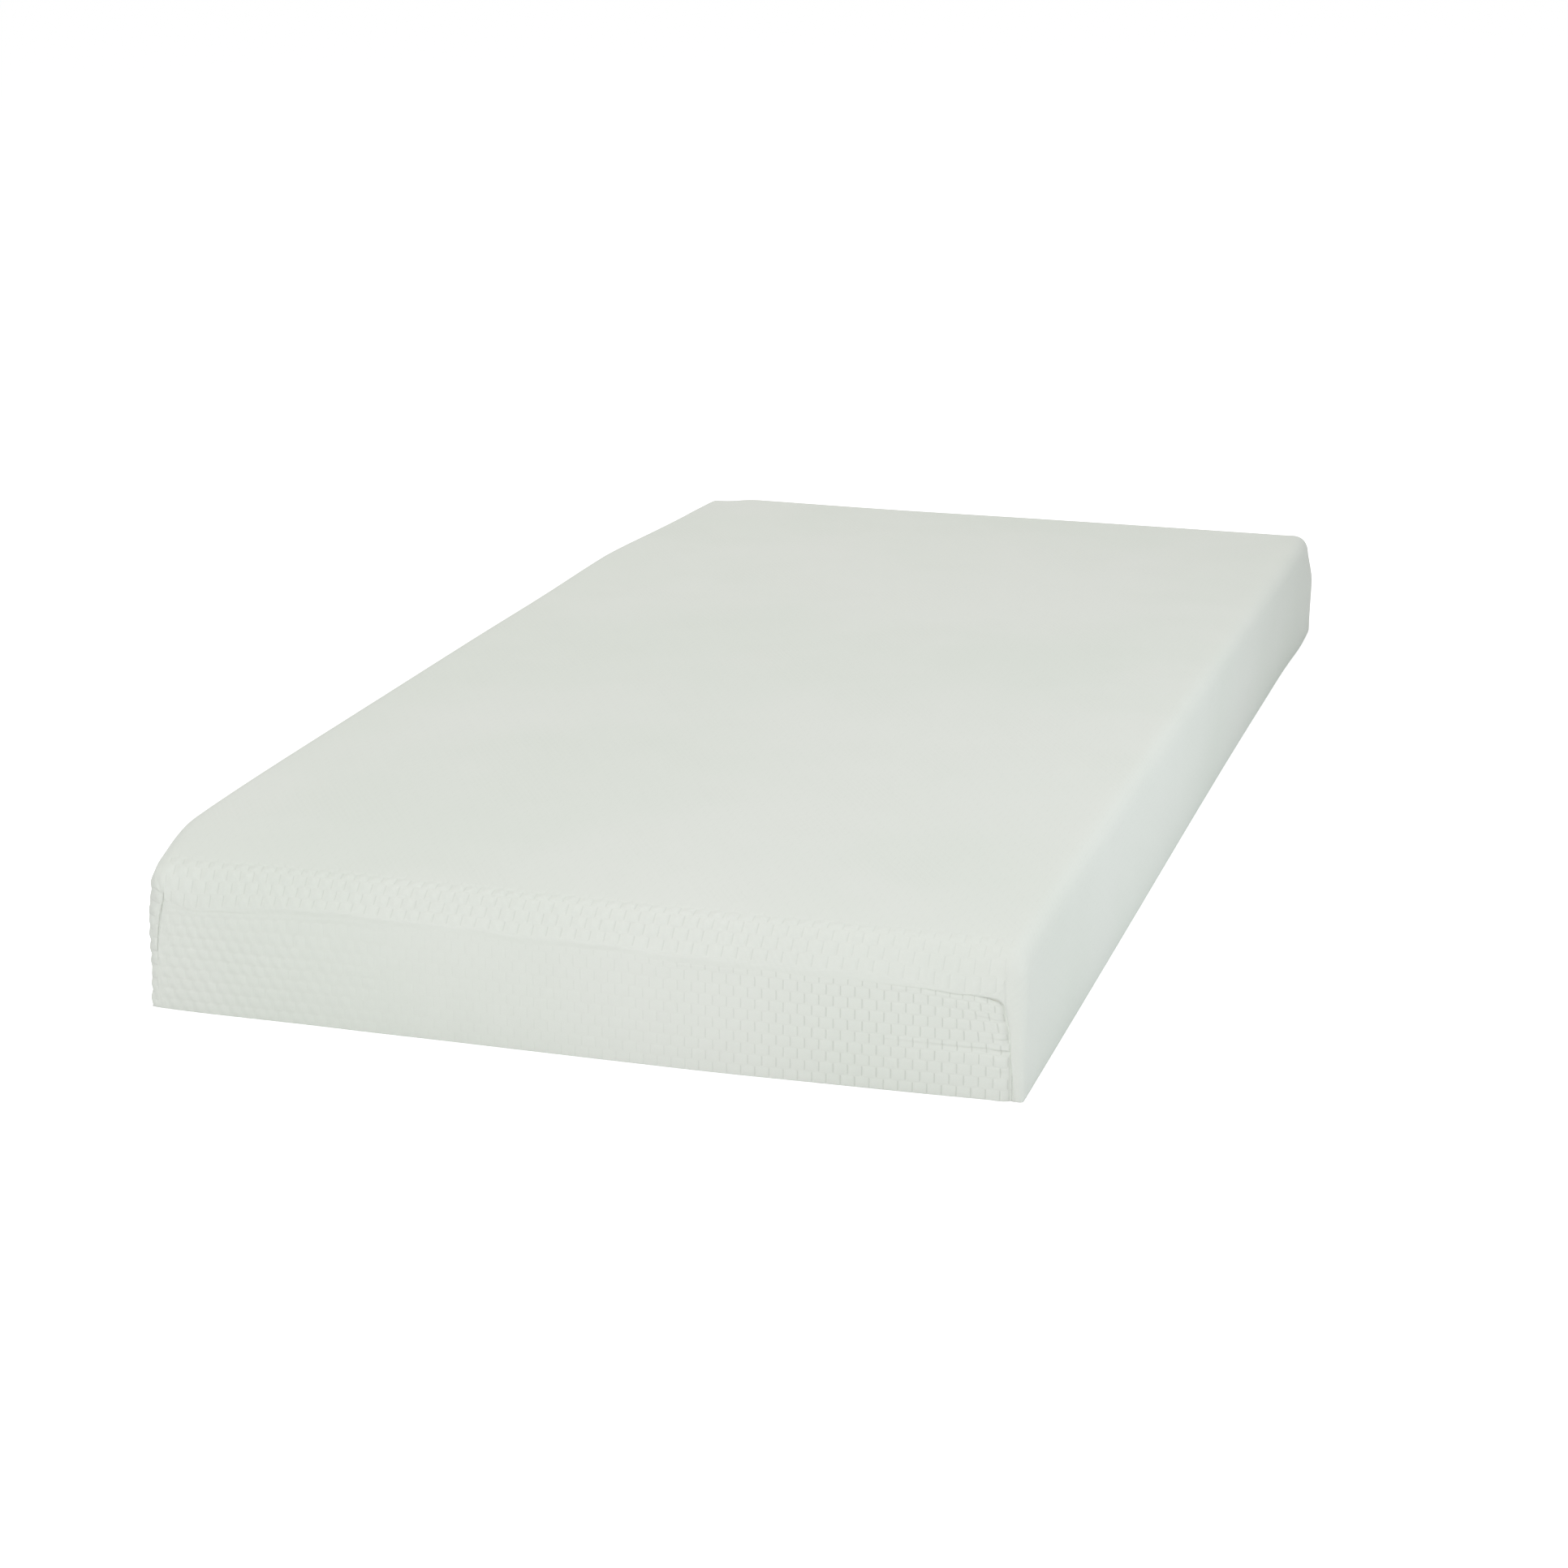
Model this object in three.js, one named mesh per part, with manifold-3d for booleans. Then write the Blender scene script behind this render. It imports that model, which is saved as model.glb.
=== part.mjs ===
// Memory foam mattress in a zipped knit cover, 38 x 75 in and 6 in thick.
//
// Frame: millimetres, +Z up, origin at the middle of the underside. X runs across the bed, -Y is the foot end
// and +Y the head end. The cover comes off by a zip across the head end: its slider rests at the +X side and
// travels towards -X.

import * as THREE from "three";
import { mergeVertices } from "three/addons/utils/BufferGeometryUtils.js";
import Module from "manifold-3d";

// ---------------------------------------------------------------- driving dimensions, in mm

// the finished mattress
const WIDTH = 965.2; // 38 in
const LENGTH = 1905; // 75 in
const THICKNESS = 152.4; // 6 in
const CORNER_RADIUS = 10; // upright corner edges of the cover, seen from above
const ROLL_RADIUS = 38; // how softly the top edge rolls over into the sides
const TOP_CORNER_RADIUS = 46; // corner of the outline where the roll meets the top, seen from above

// fabrics and foams
const COVER_WALL = 2.4; // embossed knit with its thin batting
const BOTTOM_WALL = 1.6; // non-slip underside fabric
const SOCK_WALL = 1.0; // knitted flame barrier
const COMFORT_THICKNESS = 50.8; // 2 in memory foam; the support foam fills the rest
const LAY_GAP = 0.3; // between pieces that lie against each other

// seams: the thread lies in a groove between two fabric edges
const THREAD = 0.8; // thickness of the lock-stitched seam thread
const GROOVE = THREAD + 2 * LAY_GAP; // width of a seam's groove
const END_SEAM_INSET = 13; // from each upright corner edge to the edge of an end panel
const END_PANEL_RADIUS = 10; // upper corners of an end panel
const THREAD_FOOT = 0.8; // from the underside to the lower ends of an end seam's thread
const SOCK_MOUTH_HEIGHT = 50; // height of the stitched mouth of the flame barrier above the underside
const SOCK_MOUTH_INSET = 60; // from each side of the sleeve to the end of its mouth

// zip across the head end
const ZIP_HEIGHT = 44; // its centre line above the underside
const ZIP_SLOT = 11; // gap between the fabric edges, in which the coils show
const TAPE_WIDTH = 12.5; // one tape, from its inner edge
const TAPE_EDGE = 1.5; // from the centre line to a tape's inner edge
const TAPE_THICKNESS = 0.6;
const TAPE_TUCK = 2.0; // how far a tape's end reaches behind the side of the cover
const TAPE_STITCH_INSET = 2.0; // from the edge of the slot to the stitches that hold a tape
const TAPE_STITCH = 0.4; // how far those stitches stand up
const COIL_WIDTH = 2.2; // one coil row, across the zip
const COIL_HEIGHT = 1.9; // one coil row, out from the tape
const COIL_MESHED = 0.15; // centre line to a coil row where the zip is closed
const STOP_LENGTH = 2.6; // top stops, along the zip
const BOTTOM_STOP_LENGTH = 4;
const STOP_JAW = 0.9; // wall of a stop behind its tape
const STOP_REACH = 2.2; // how far a stop grips onto its tape
const STOP_PROUD = 0.7; // how far a stop stands out past the coils
const STOP_END_MARGIN = 8; // from the end of the fabric slot to a stop

// slider
const SLIDER_LENGTH = 12;
const SLIDER_PLATE = 1.0;
const SLIDER_PLAY = 0.4; // running clearance between the slider and the zip
const SLIDER_RAIL = 0.9; // side walls that keep the coils in
const WEDGE_HALF = 1.2; // half the width of the wedge that parts the coils
const WEDGE_LENGTH = 4.4;
const BRIDGE_SPAN = 7.8;
const BRIDGE_WALL = 1.0;
const BRIDGE_WIDTH = 2.2;
const PULL_PLAY = 0.3; // running clearance between the pull and the bridge

// pull tab
const PULL_BAR_RADIUS = 0.7; // cross bar that turns in the bridge
const PULL_THICKNESS = 1.2;
const PULL_LENGTH = 25; // from the cross bar to the tip
const PULL_WIDTH = 7;
const PULL_ARM = 1.5; // arms beside the window, and the web below it
const PULL_HOLE_RADIUS = 1.6;

// ---------------------------------------------------------------- sizes that follow

const END_PANEL_TOP = THICKNESS - ROLL_RADIUS; // an end panel stops where the edge begins to roll
const END_PANEL_HALF = WIDTH / 2 - END_SEAM_INSET;

// along the zip's own outward axis, measured from the middle of the tapes
const TAPE_FACE = TAPE_THICKNESS / 2;
const PANEL_BACK = TAPE_FACE + LAY_GAP;
const COIL_FOOT = TAPE_FACE + LAY_GAP;
const COIL_FACE = COIL_FOOT + COIL_HEIGHT;
const FRONT_PLATE = COIL_FACE + SLIDER_PLAY;
const SLIDER_FACE = FRONT_PLATE + SLIDER_PLATE;
const BACK_PLATE = -TAPE_FACE - SLIDER_PLAY - SLIDER_PLATE;
const STOP_BACK = -PANEL_BACK - STOP_JAW;
const PULL_AXIS = SLIDER_FACE + PULL_PLAY + PULL_BAR_RADIUS;
const BRIDGE_UNDERSIDE = PULL_AXIS + PULL_BAR_RADIUS + PULL_PLAY;
const BRIDGE_TOP = BRIDGE_UNDERSIDE + BRIDGE_WALL;

// across the zip: the coil rows part round the wedge
const COIL_PARTED = WEDGE_HALF + SLIDER_PLAY;

// along the zip: the slider rests against the top stops
const STOP_FAR_FACE = END_PANEL_HALF - STOP_END_MARGIN;
const TOP_STOP_X = STOP_FAR_FACE - STOP_LENGTH;
const SLIDER_X = TOP_STOP_X - SLIDER_PLAY - SLIDER_LENGTH / 2;
const ZIP_PLANE_Y = LENGTH / 2 - COVER_WALL - PANEL_BACK;

// inside the cover: behind the head panel is a pocket for the tapes, the stops and the slider's back plate
const ZIP_POCKET = PANEL_BACK - Math.min(BACK_PLATE, STOP_BACK) + SLIDER_PLAY;
const SOCK_INSET = COVER_WALL + LAY_GAP; // sides, foot end and top of the flame barrier
const SOCK_HEAD_INSET = COVER_WALL + ZIP_POCKET;
const SOCK_BOTTOM = BOTTOM_WALL + LAY_GAP;
const FOAM_INSET = SOCK_INSET + SOCK_WALL + LAY_GAP;
const FOAM_HEAD_INSET = SOCK_HEAD_INSET + SOCK_WALL + LAY_GAP;
const FOAM_BOTTOM = SOCK_BOTTOM + SOCK_WALL + LAY_GAP;
const COMFORT_TOP = THICKNESS - FOAM_INSET;
const COMFORT_BOTTOM = COMFORT_TOP - COMFORT_THICKNESS;
const BASE_TOP = COMFORT_BOTTOM - LAY_GAP;

// ---------------------------------------------------------------- solids

const wasm = await Module();
wasm.setup();

// A closed three.js geometry as a solid for joining and cutting.
function solid(geometry) {
  const bare = geometry.clone();
  bare.deleteAttribute("normal");
  bare.deleteAttribute("uv");
  const merged = mergeVertices(bare, 1e-4);
  const mesh = new wasm.Mesh({
    numProp: 3,
    vertProperties: new Float32Array(merged.attributes.position.array),
    triVerts: new Uint32Array(merged.index.array),
  });
  return new wasm.Manifold(mesh);
}

// The other way round: a solid as a three.js geometry with flat-shaded normals.
function geometryOf(body) {
  const mesh = body.getMesh();
  const geometry = new THREE.BufferGeometry();
  geometry.setAttribute("position", new THREE.BufferAttribute(mesh.vertProperties, 3));
  geometry.setIndex(new THREE.BufferAttribute(mesh.triVerts, 1));
  const loose = geometry.toNonIndexed();
  loose.computeVertexNormals();
  return loose;
}

// A rectangle with rounded corners, as a closed counter-clockwise outline round the middle of the part.
function roundedRectangle(halfWidth, backY, frontY, radius) {
  const outline = new THREE.Shape();
  outline.moveTo(halfWidth, frontY + radius);
  outline.lineTo(halfWidth, backY - radius);
  outline.absarc(halfWidth - radius, backY - radius, radius, 0, Math.PI / 2);
  outline.lineTo(radius - halfWidth, backY);
  outline.absarc(radius - halfWidth, backY - radius, radius, Math.PI / 2, Math.PI);
  outline.lineTo(-halfWidth, frontY + radius);
  outline.absarc(radius - halfWidth, frontY + radius, radius, Math.PI, 1.5 * Math.PI);
  outline.lineTo(halfWidth - radius, frontY);
  outline.absarc(halfWidth - radius, frontY + radius, radius, 1.5 * Math.PI, 2 * Math.PI);
  return outline;
}

// A block that follows the inside of the mattress: upright sides, rounded corners, and a top edge that rolls
// over. Every size is given as the distance inside the mattress's own outer face.
function mattressBlock({ inset, headInset = inset, bottom, top, rolled = true }) {
  const rollRadius = ROLL_RADIUS - inset;
  const ringAt = (shrink, turned, z) => ({
    halfWidth: WIDTH / 2 - inset - shrink,
    back: LENGTH / 2 - headInset - shrink,
    front: inset + shrink - LENGTH / 2,
    radius: THREE.MathUtils.lerp(CORNER_RADIUS - inset, TOP_CORNER_RADIUS - inset, turned),
    z,
  });
  const rings = [ringAt(0, 0, bottom)];
  if (rolled) {
    const steps = 7;
    for (let i = 0; i <= steps; i++) {
      const angle = ((i / steps) * Math.PI) / 2;
      const shrink = rollRadius * (1 - Math.cos(angle));
      rings.push(ringAt(shrink, 1 - Math.cos(angle), top - rollRadius * (1 - Math.sin(angle))));
    }
  } else {
    rings.push(ringAt(0, 0, top));
  }
  return loft(rings);
}

// Rings of equally many points joined by quads, and closed by a flat cap at each end.
function loft(rings) {
  const cornerSteps = 6;
  const outlines = rings.map((ring) => {
    const points = [];
    const corners = [
      [1, 1, ring.back],
      [-1, 1, ring.back],
      [-1, -1, ring.front],
      [1, -1, ring.front],
    ];
    corners.forEach(([sx, sy, edge], corner) => {
      for (let i = 0; i <= cornerSteps; i++) {
        const angle = (corner + i / cornerSteps) * (Math.PI / 2);
        const x = sx * (ring.halfWidth - ring.radius) + ring.radius * Math.cos(angle);
        const y = edge - sy * ring.radius + ring.radius * Math.sin(angle);
        points.push([x, y, ring.z]);
      }
    });
    return points;
  });
  const count = outlines[0].length;
  const vertices = outlines.flat(2);
  const faces = [];
  for (let r = 0; r + 1 < outlines.length; r++) {
    for (let i = 0; i < count; i++) {
      const next = (i + 1) % count;
      const [a, b] = [r * count + i, r * count + next];
      const [c, d] = [a + count, b + count];
      faces.push(a, b, d, a, d, c);
    }
  }
  const cap = (ring, upward) => {
    const flat = outlines[ring].map(([x, y]) => new THREE.Vector2(x, y));
    for (const [a, b, c] of THREE.ShapeUtils.triangulateShape(flat, [])) {
      const [p, q, s] = [a, b, c].map((i) => ring * count + i);
      faces.push(...(upward ? [p, q, s] : [p, s, q]));
    }
  };
  cap(0, false);
  cap(outlines.length - 1, true);
  const geometry = new THREE.BufferGeometry();
  geometry.setAttribute("position", new THREE.Float32BufferAttribute(vertices, 3));
  geometry.setIndex(faces);
  return geometry;
}

// An outline drawn in X and Z, made a plate between two planes of Y.
function uprightPlate(outline, fromY, toY, curveSegments = 6) {
  const options = { depth: toY - fromY, bevelEnabled: false, curveSegments };
  const geometry = new THREE.ExtrudeGeometry(outline, options);
  geometry.rotateX(Math.PI / 2);
  geometry.translate(0, toY, 0);
  return geometry;
}

// An outline drawn in X and Y, made a plate between two heights.
function levelPlate(outline, fromZ, toZ) {
  const options = { depth: toZ - fromZ, bevelEnabled: false, curveSegments: 6 };
  const geometry = new THREE.ExtrudeGeometry(outline, options);
  geometry.translate(0, 0, fromZ);
  return geometry;
}

// The area between two outlines, one inside the other.
function between(outer, inner) {
  const outline = outer.clone();
  outline.holes.push(inner);
  return outline;
}

const group = new THREE.Group();

function addPiece(name, geometry, material, parent = group) {
  const mesh = new THREE.Mesh(geometry, material.clone());
  mesh.name = name;
  parent.add(mesh);
  return mesh;
}

// ---------------------------------------------------------------- materials

const finish = (color, roughness, metalness = 0) =>
  new THREE.MeshStandardMaterial({ color, roughness, metalness });

const COVER_KNIT = finish(0xdfe4dc, 0.9);
const UNDERSIDE_FABRIC = finish(0xb9bcbb, 0.95);
const SEAM_THREAD = finish(0xe9ebe6, 0.7);
const FLAME_BARRIER = finish(0xf2efe4, 0.95);
const MEMORY_FOAM = finish(0xf1ead6, 0.95);
const SUPPORT_FOAM = finish(0xf7f6f0, 0.95);
const ZIP_TAPE = finish(0xe4e6e2, 0.85);
const ZIP_NYLON = finish(0xeceeea, 0.45);
const ZIP_METAL = finish(0xb4b7ba, 0.3, 0.9);

// ---------------------------------------------------------------- foams and flame barrier

function addFoams() {
  const base = mattressBlock({
    inset: FOAM_INSET,
    headInset: FOAM_HEAD_INSET,
    bottom: FOAM_BOTTOM,
    top: BASE_TOP,
    rolled: false,
  });
  addPiece("base_foam", base, SUPPORT_FOAM);
  const comfort = mattressBlock({
    inset: FOAM_INSET,
    headInset: FOAM_HEAD_INSET,
    bottom: COMFORT_BOTTOM,
    top: COMFORT_TOP,
  });
  addPiece("comfort_foam", comfort, MEMORY_FOAM);
}

// The sleeve wraps both foams. Its mouth is a level slit in the head end, closed by a line of thread.
function addFlameBarrier() {
  const outside = mattressBlock({
    inset: SOCK_INSET,
    headInset: SOCK_HEAD_INSET,
    bottom: SOCK_BOTTOM,
    top: THICKNESS - SOCK_INSET,
  });
  const inside = mattressBlock({
    inset: SOCK_INSET + SOCK_WALL,
    headInset: SOCK_HEAD_INSET + SOCK_WALL,
    bottom: SOCK_BOTTOM + SOCK_WALL,
    top: THICKNESS - SOCK_INSET - SOCK_WALL,
  });
  const mouthHalf = WIDTH / 2 - SOCK_INSET - SOCK_MOUTH_INSET;
  const headFace = LENGTH / 2 - SOCK_HEAD_INSET;
  const slit = new THREE.BoxGeometry(2 * mouthHalf, 4 * SOCK_WALL, GROOVE);
  slit.translate(0, headFace, SOCK_MOUTH_HEIGHT);
  const sleeve = solid(outside).subtract(solid(inside)).subtract(solid(slit));
  addPiece("fire_sock", geometryOf(sleeve), FLAME_BARRIER);

  const thread = new THREE.BoxGeometry(2 * (mouthHalf - LAY_GAP), SOCK_WALL, THREAD);
  thread.translate(0, headFace - SOCK_WALL / 2, SOCK_MOUTH_HEIGHT);
  addPiece("fire_sock_thread", thread, SEAM_THREAD);
}

// ---------------------------------------------------------------- cover

// Outline of an end panel in X and Z, grown outwards. It runs below the underside so that a cut is clean.
function endPanelOutline(grow, bottom) {
  const half = END_PANEL_HALF + grow;
  const top = END_PANEL_TOP + grow;
  const radius = END_PANEL_RADIUS + grow;
  const outline = new THREE.Shape();
  outline.moveTo(-half, bottom);
  outline.lineTo(half, bottom);
  outline.lineTo(half, top - radius);
  outline.absarc(half - radius, top - radius, radius, 0, Math.PI / 2);
  outline.lineTo(radius - half, top);
  outline.absarc(radius - half, top - radius, radius, Math.PI / 2, Math.PI);
  return outline;
}

// A seam's thread follows three edges of its end panel, half way to the cover and half way into the wall.
function endSeamThread(headSide) {
  const outer = endPanelOutline(LAY_GAP + THREAD, THREAD_FOOT);
  const inner = endPanelOutline(LAY_GAP, THREAD_FOOT - 1);
  const outerFace = LENGTH / 2 - (COVER_WALL - THREAD) / 2;
  const faces = headSide ? [outerFace - THREAD, outerFace] : [-outerFace, THREAD - outerFace];
  const core = uprightPlate(inner, faces[0] - 1, faces[1] + 1);
  return geometryOf(solid(uprightPlate(outer, ...faces)).subtract(solid(core)));
}

function addCover() {
  const skinUnderside = -1; // the inside is cut out past the underside, so the skin is open below
  const outside = solid(mattressBlock({ inset: 0, bottom: 0, top: THICKNESS }));
  const hollow = { inset: COVER_WALL, bottom: skinUnderside, top: THICKNESS - COVER_WALL };
  const inside = solid(mattressBlock(hollow));
  const skin = outside.subtract(inside);

  const cutMargin = 4; // how far the cutters reach past the two faces of the skin
  const cutDepth = COVER_WALL + cutMargin;
  const endFaces = {
    foot: [-LENGTH / 2 - cutMargin, cutDepth - LENGTH / 2],
    head: [LENGTH / 2 - cutDepth, LENGTH / 2 + cutMargin],
  };
  const cutter = (grow, faces) => solid(uprightPlate(endPanelOutline(grow, skinUnderside), ...faces));

  const top = skin.subtract(cutter(GROOVE, endFaces.foot)).subtract(cutter(GROOVE, endFaces.head));
  addPiece("cover_top", geometryOf(top), COVER_KNIT);
  addPiece("foot_end_panel", geometryOf(skin.intersect(cutter(0, endFaces.foot))), COVER_KNIT);

  // the zip's slot parts the head end panel into an upper piece and a strip below
  const headPanel = skin.intersect(cutter(0, endFaces.head));
  const above = new THREE.BoxGeometry(WIDTH, 4 * cutDepth, THICKNESS);
  above.translate(0, LENGTH / 2, ZIP_HEIGHT + ZIP_SLOT / 2 + THICKNESS / 2);
  const below = new THREE.BoxGeometry(WIDTH, 4 * cutDepth, THICKNESS);
  below.translate(0, LENGTH / 2, ZIP_HEIGHT - ZIP_SLOT / 2 - THICKNESS / 2);
  addPiece("head_end_panel", geometryOf(headPanel.intersect(solid(above))), COVER_KNIT);
  addPiece("head_zip_strip", geometryOf(headPanel.intersect(solid(below))), COVER_KNIT);

  addPiece("foot_seam_thread", endSeamThread(false), SEAM_THREAD);
  addPiece("head_seam_thread", endSeamThread(true), SEAM_THREAD);
}

// The underside panel fills the open bottom of the cover, a seam's groove inside it.
function addUnderside() {
  const outlineAt = (inset) => {
    const halfLength = LENGTH / 2 - inset;
    return roundedRectangle(WIDTH / 2 - inset, halfLength, -halfLength, Math.max(CORNER_RADIUS - inset, 1));
  };
  const panelInset = COVER_WALL + GROOVE;
  addPiece("bottom_panel", levelPlate(outlineAt(panelInset), 0, BOTTOM_WALL), UNDERSIDE_FABRIC);
  const ring = between(outlineAt(COVER_WALL + LAY_GAP), outlineAt(panelInset - LAY_GAP));
  const threadTop = (BOTTOM_WALL + THREAD) / 2;
  addPiece("bottom_seam_thread", levelPlate(ring, threadTop - THREAD, threadTop), SEAM_THREAD);
}

// ---------------------------------------------------------------- zip

// The zip's own group has X along the zip, Z across it, and Y outwards from the middle of the tapes.
const zip = new THREE.Group();
zip.position.set(0, ZIP_PLANE_Y, ZIP_HEIGHT);
group.add(zip);

const SIDES = [
  ["upper", 1],
  ["lower", -1],
];

// Each tape lies behind the fabric's edge, and a line of stitches on the fabric's face holds it there.
function addTapes() {
  const half = END_PANEL_HALF + TAPE_TUCK;
  const stitchFace = PANEL_BACK + COVER_WALL + LAY_GAP;
  const stitchFromCentre = ZIP_SLOT / 2 + TAPE_STITCH_INSET + THREAD / 2;
  for (const [side, sign] of SIDES) {
    const tape = new THREE.BoxGeometry(2 * half, TAPE_THICKNESS, TAPE_WIDTH);
    const tapeMesh = addPiece("zip_tape_" + side, tape, ZIP_TAPE, zip);
    tapeMesh.position.z = sign * (TAPE_EDGE + TAPE_WIDTH / 2);
    const stitches = new THREE.BoxGeometry(2 * END_PANEL_HALF, TAPE_STITCH, THREAD);
    const stitchMesh = addPiece("zip_stitches_" + side, stitches, SEAM_THREAD, zip);
    stitchMesh.position.set(0, stitchFace + TAPE_STITCH / 2, sign * stitchFromCentre);
  }
}

// Where the coil rows part, in the slider's own X: from its tail to the tip of its wedge.
const PARTING_START = -SLIDER_LENGTH / 2;
const PARTING_END = SLIDER_LENGTH / 2 - WEDGE_LENGTH;
const PARTING_STEPS = 8;
const partingStations = Array.from({ length: PARTING_STEPS + 1 }, (_, i) =>
  THREE.MathUtils.lerp(PARTING_START, PARTING_END, i / PARTING_STEPS),
);

// Distance from the centre line to a coil row's inner edge: meshed behind the slider, parted in front of it.
function coilEdge(x) {
  return THREE.MathUtils.lerp(
    COIL_MESHED,
    COIL_PARTED,
    THREE.MathUtils.smoothstep(x, PARTING_START, PARTING_END),
  );
}

// Half the width of the slider's channel, in which both coil rows run.
const channelHalf = (x) => coilEdge(x) + COIL_WIDTH + SLIDER_PLAY;

// One coil row as a plain bar along its path, from the bottom stop to the top stop.
function coilRow() {
  const start = BOTTOM_STOP_LENGTH - STOP_FAR_FACE + LAY_GAP - SLIDER_X;
  const end = TOP_STOP_X - LAY_GAP - SLIDER_X;
  const stations = [start, ...partingStations, end];
  const inner = stations.map((x) => new THREE.Vector2(SLIDER_X + x, coilEdge(x)));
  const outer = stations.map((x) => new THREE.Vector2(SLIDER_X + x, coilEdge(x) + COIL_WIDTH));
  return uprightPlate(new THREE.Shape([...inner, ...outer.reverse()]), COIL_FOOT, COIL_FACE);
}

function addCoils() {
  for (const [side, sign] of SIDES) {
    const row = coilRow();
    if (sign < 0) row.rotateX(Math.PI).translate(0, COIL_FOOT + COIL_FACE, 0);
    addPiece("zip_coil_" + side, row, ZIP_NYLON, zip);
  }
}

// A stop is a clip whose jaws grip the inner edges of the tapes: a top stop grips one, the bottom stop both.
function stopClip(length, signs) {
  const [front, back] = [COIL_FACE + STOP_PROUD, STOP_BACK];
  const reach = TAPE_EDGE + STOP_REACH;
  const nose = signs.length > 1 ? -reach : TAPE_EDGE - LAY_GAP - STOP_JAW;
  const clip = new THREE.BoxGeometry(length, front - back, reach - nose);
  clip.translate(0, (front + back) / 2, (signs[0] * (nose + reach)) / 2);
  let body = solid(clip);
  for (const sign of signs) {
    const mouth = new THREE.BoxGeometry(2 * length, 2 * PANEL_BACK, reach);
    mouth.translate(0, 0, sign * (TAPE_EDGE - LAY_GAP + reach / 2));
    body = body.subtract(solid(mouth));
  }
  return geometryOf(body);
}

function addStops() {
  for (const [side, sign] of SIDES) {
    const mesh = addPiece("zip_top_stop_" + side, stopClip(STOP_LENGTH, [sign]), ZIP_METAL, zip);
    mesh.position.x = TOP_STOP_X + STOP_LENGTH / 2;
  }
  const bottom = addPiece("zip_bottom_stop", stopClip(BOTTOM_STOP_LENGTH, [1, -1]), ZIP_METAL, zip);
  bottom.position.x = BOTTOM_STOP_LENGTH / 2 - STOP_FAR_FACE;
}

// Outline of a slider plate in X and Z: it widens with the coils to its shoulders and has a rounded nose.
function sliderOutline() {
  const nose = SLIDER_LENGTH / 2;
  const side = partingStations.map((x) => new THREE.Vector2(x, channelHalf(x) + SLIDER_RAIL));
  const shoulder = side.at(-1).y;
  const outline = new THREE.Shape(side);
  outline.quadraticCurveTo(nose, shoulder, nose, shoulder / 2);
  outline.lineTo(nose, -shoulder / 2);
  outline.quadraticCurveTo(nose, -shoulder, PARTING_END, -shoulder);
  side.toReversed().forEach(({ x, y }) => outline.lineTo(x, -y));
  return outline;
}

// The wedge between the plates: a point towards the tail that widens to part the coils.
function wedge() {
  const front = SLIDER_LENGTH / 2 - SLIDER_PLAY;
  const tip = SLIDER_LENGTH / 2 - WEDGE_LENGTH;
  const outline = new THREE.Shape();
  outline.moveTo(tip, 0);
  outline.quadraticCurveTo(tip + WEDGE_LENGTH / 2, -WEDGE_HALF, front, -WEDGE_HALF);
  outline.lineTo(front, WEDGE_HALF);
  outline.quadraticCurveTo(tip + WEDGE_LENGTH / 2, WEDGE_HALF, tip, 0);
  return uprightPlate(outline, BACK_PLATE, SLIDER_FACE);
}

// The side rails run down from the front plate beside the coils, and are open at the tail and at the nose.
function rails() {
  const [from, to] = [TAPE_FACE + SLIDER_PLAY, FRONT_PLATE + SLIDER_PLATE / 2];
  const block = solid(uprightPlate(sliderOutline(), from, to));
  const noseX = PARTING_END + WEDGE_LENGTH / 2;
  const beyond = 2 * SLIDER_LENGTH;
  const half = [
    [-beyond, channelHalf(PARTING_START)],
    ...partingStations.map((x) => [x, channelHalf(x)]),
    [noseX, channelHalf(PARTING_END)],
    [noseX, beyond],
    [beyond, beyond],
  ];
  const mirrored = half.map(([x, z]) => [x, -z]).reverse();
  const channel = new THREE.Shape([...half, ...mirrored].map(([x, z]) => new THREE.Vector2(x, z)));
  return block.subtract(solid(uprightPlate(channel, from - 1, to + 1)));
}

// The bridge is an arch along the slider that holds the pull's cross bar.
function bridge() {
  const half = BRIDGE_SPAN / 2;
  const foot = FRONT_PLATE + SLIDER_PLATE / 2;
  const arch = (inset, bottom) => {
    const top = BRIDGE_TOP - inset;
    const radius = 2 * BRIDGE_WALL - inset;
    const outline = new THREE.Shape();
    outline.moveTo(inset - half, bottom);
    outline.lineTo(half - inset, bottom);
    outline.lineTo(half - inset, top - radius);
    outline.absarc(half - inset - radius, top - radius, radius, 0, Math.PI / 2);
    outline.lineTo(inset - half + radius, top);
    outline.absarc(inset - half + radius, top - radius, radius, Math.PI / 2, Math.PI);
    return outline;
  };
  const bar = (inset, bottom, width) => {
    const options = { depth: width, bevelEnabled: false, curveSegments: 5 };
    return solid(new THREE.ExtrudeGeometry(arch(inset, bottom), options).translate(0, 0, -width / 2));
  };
  return bar(0, foot, BRIDGE_WIDTH).subtract(bar(BRIDGE_WALL, foot - 1, 2 * BRIDGE_WIDTH));
}

const slider = new THREE.Group();
slider.position.x = SLIDER_X;
zip.add(slider);

function addSlider() {
  const plate = (from, to) => solid(uprightPlate(sliderOutline(), from, to));
  const body = plate(FRONT_PLATE, SLIDER_FACE)
    .add(plate(BACK_PLATE, BACK_PLATE + SLIDER_PLATE))
    .add(solid(wedge()))
    .add(rails())
    .add(bridge());
  addPiece("zip_slider", geometryOf(body), ZIP_METAL, slider);
}

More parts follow.
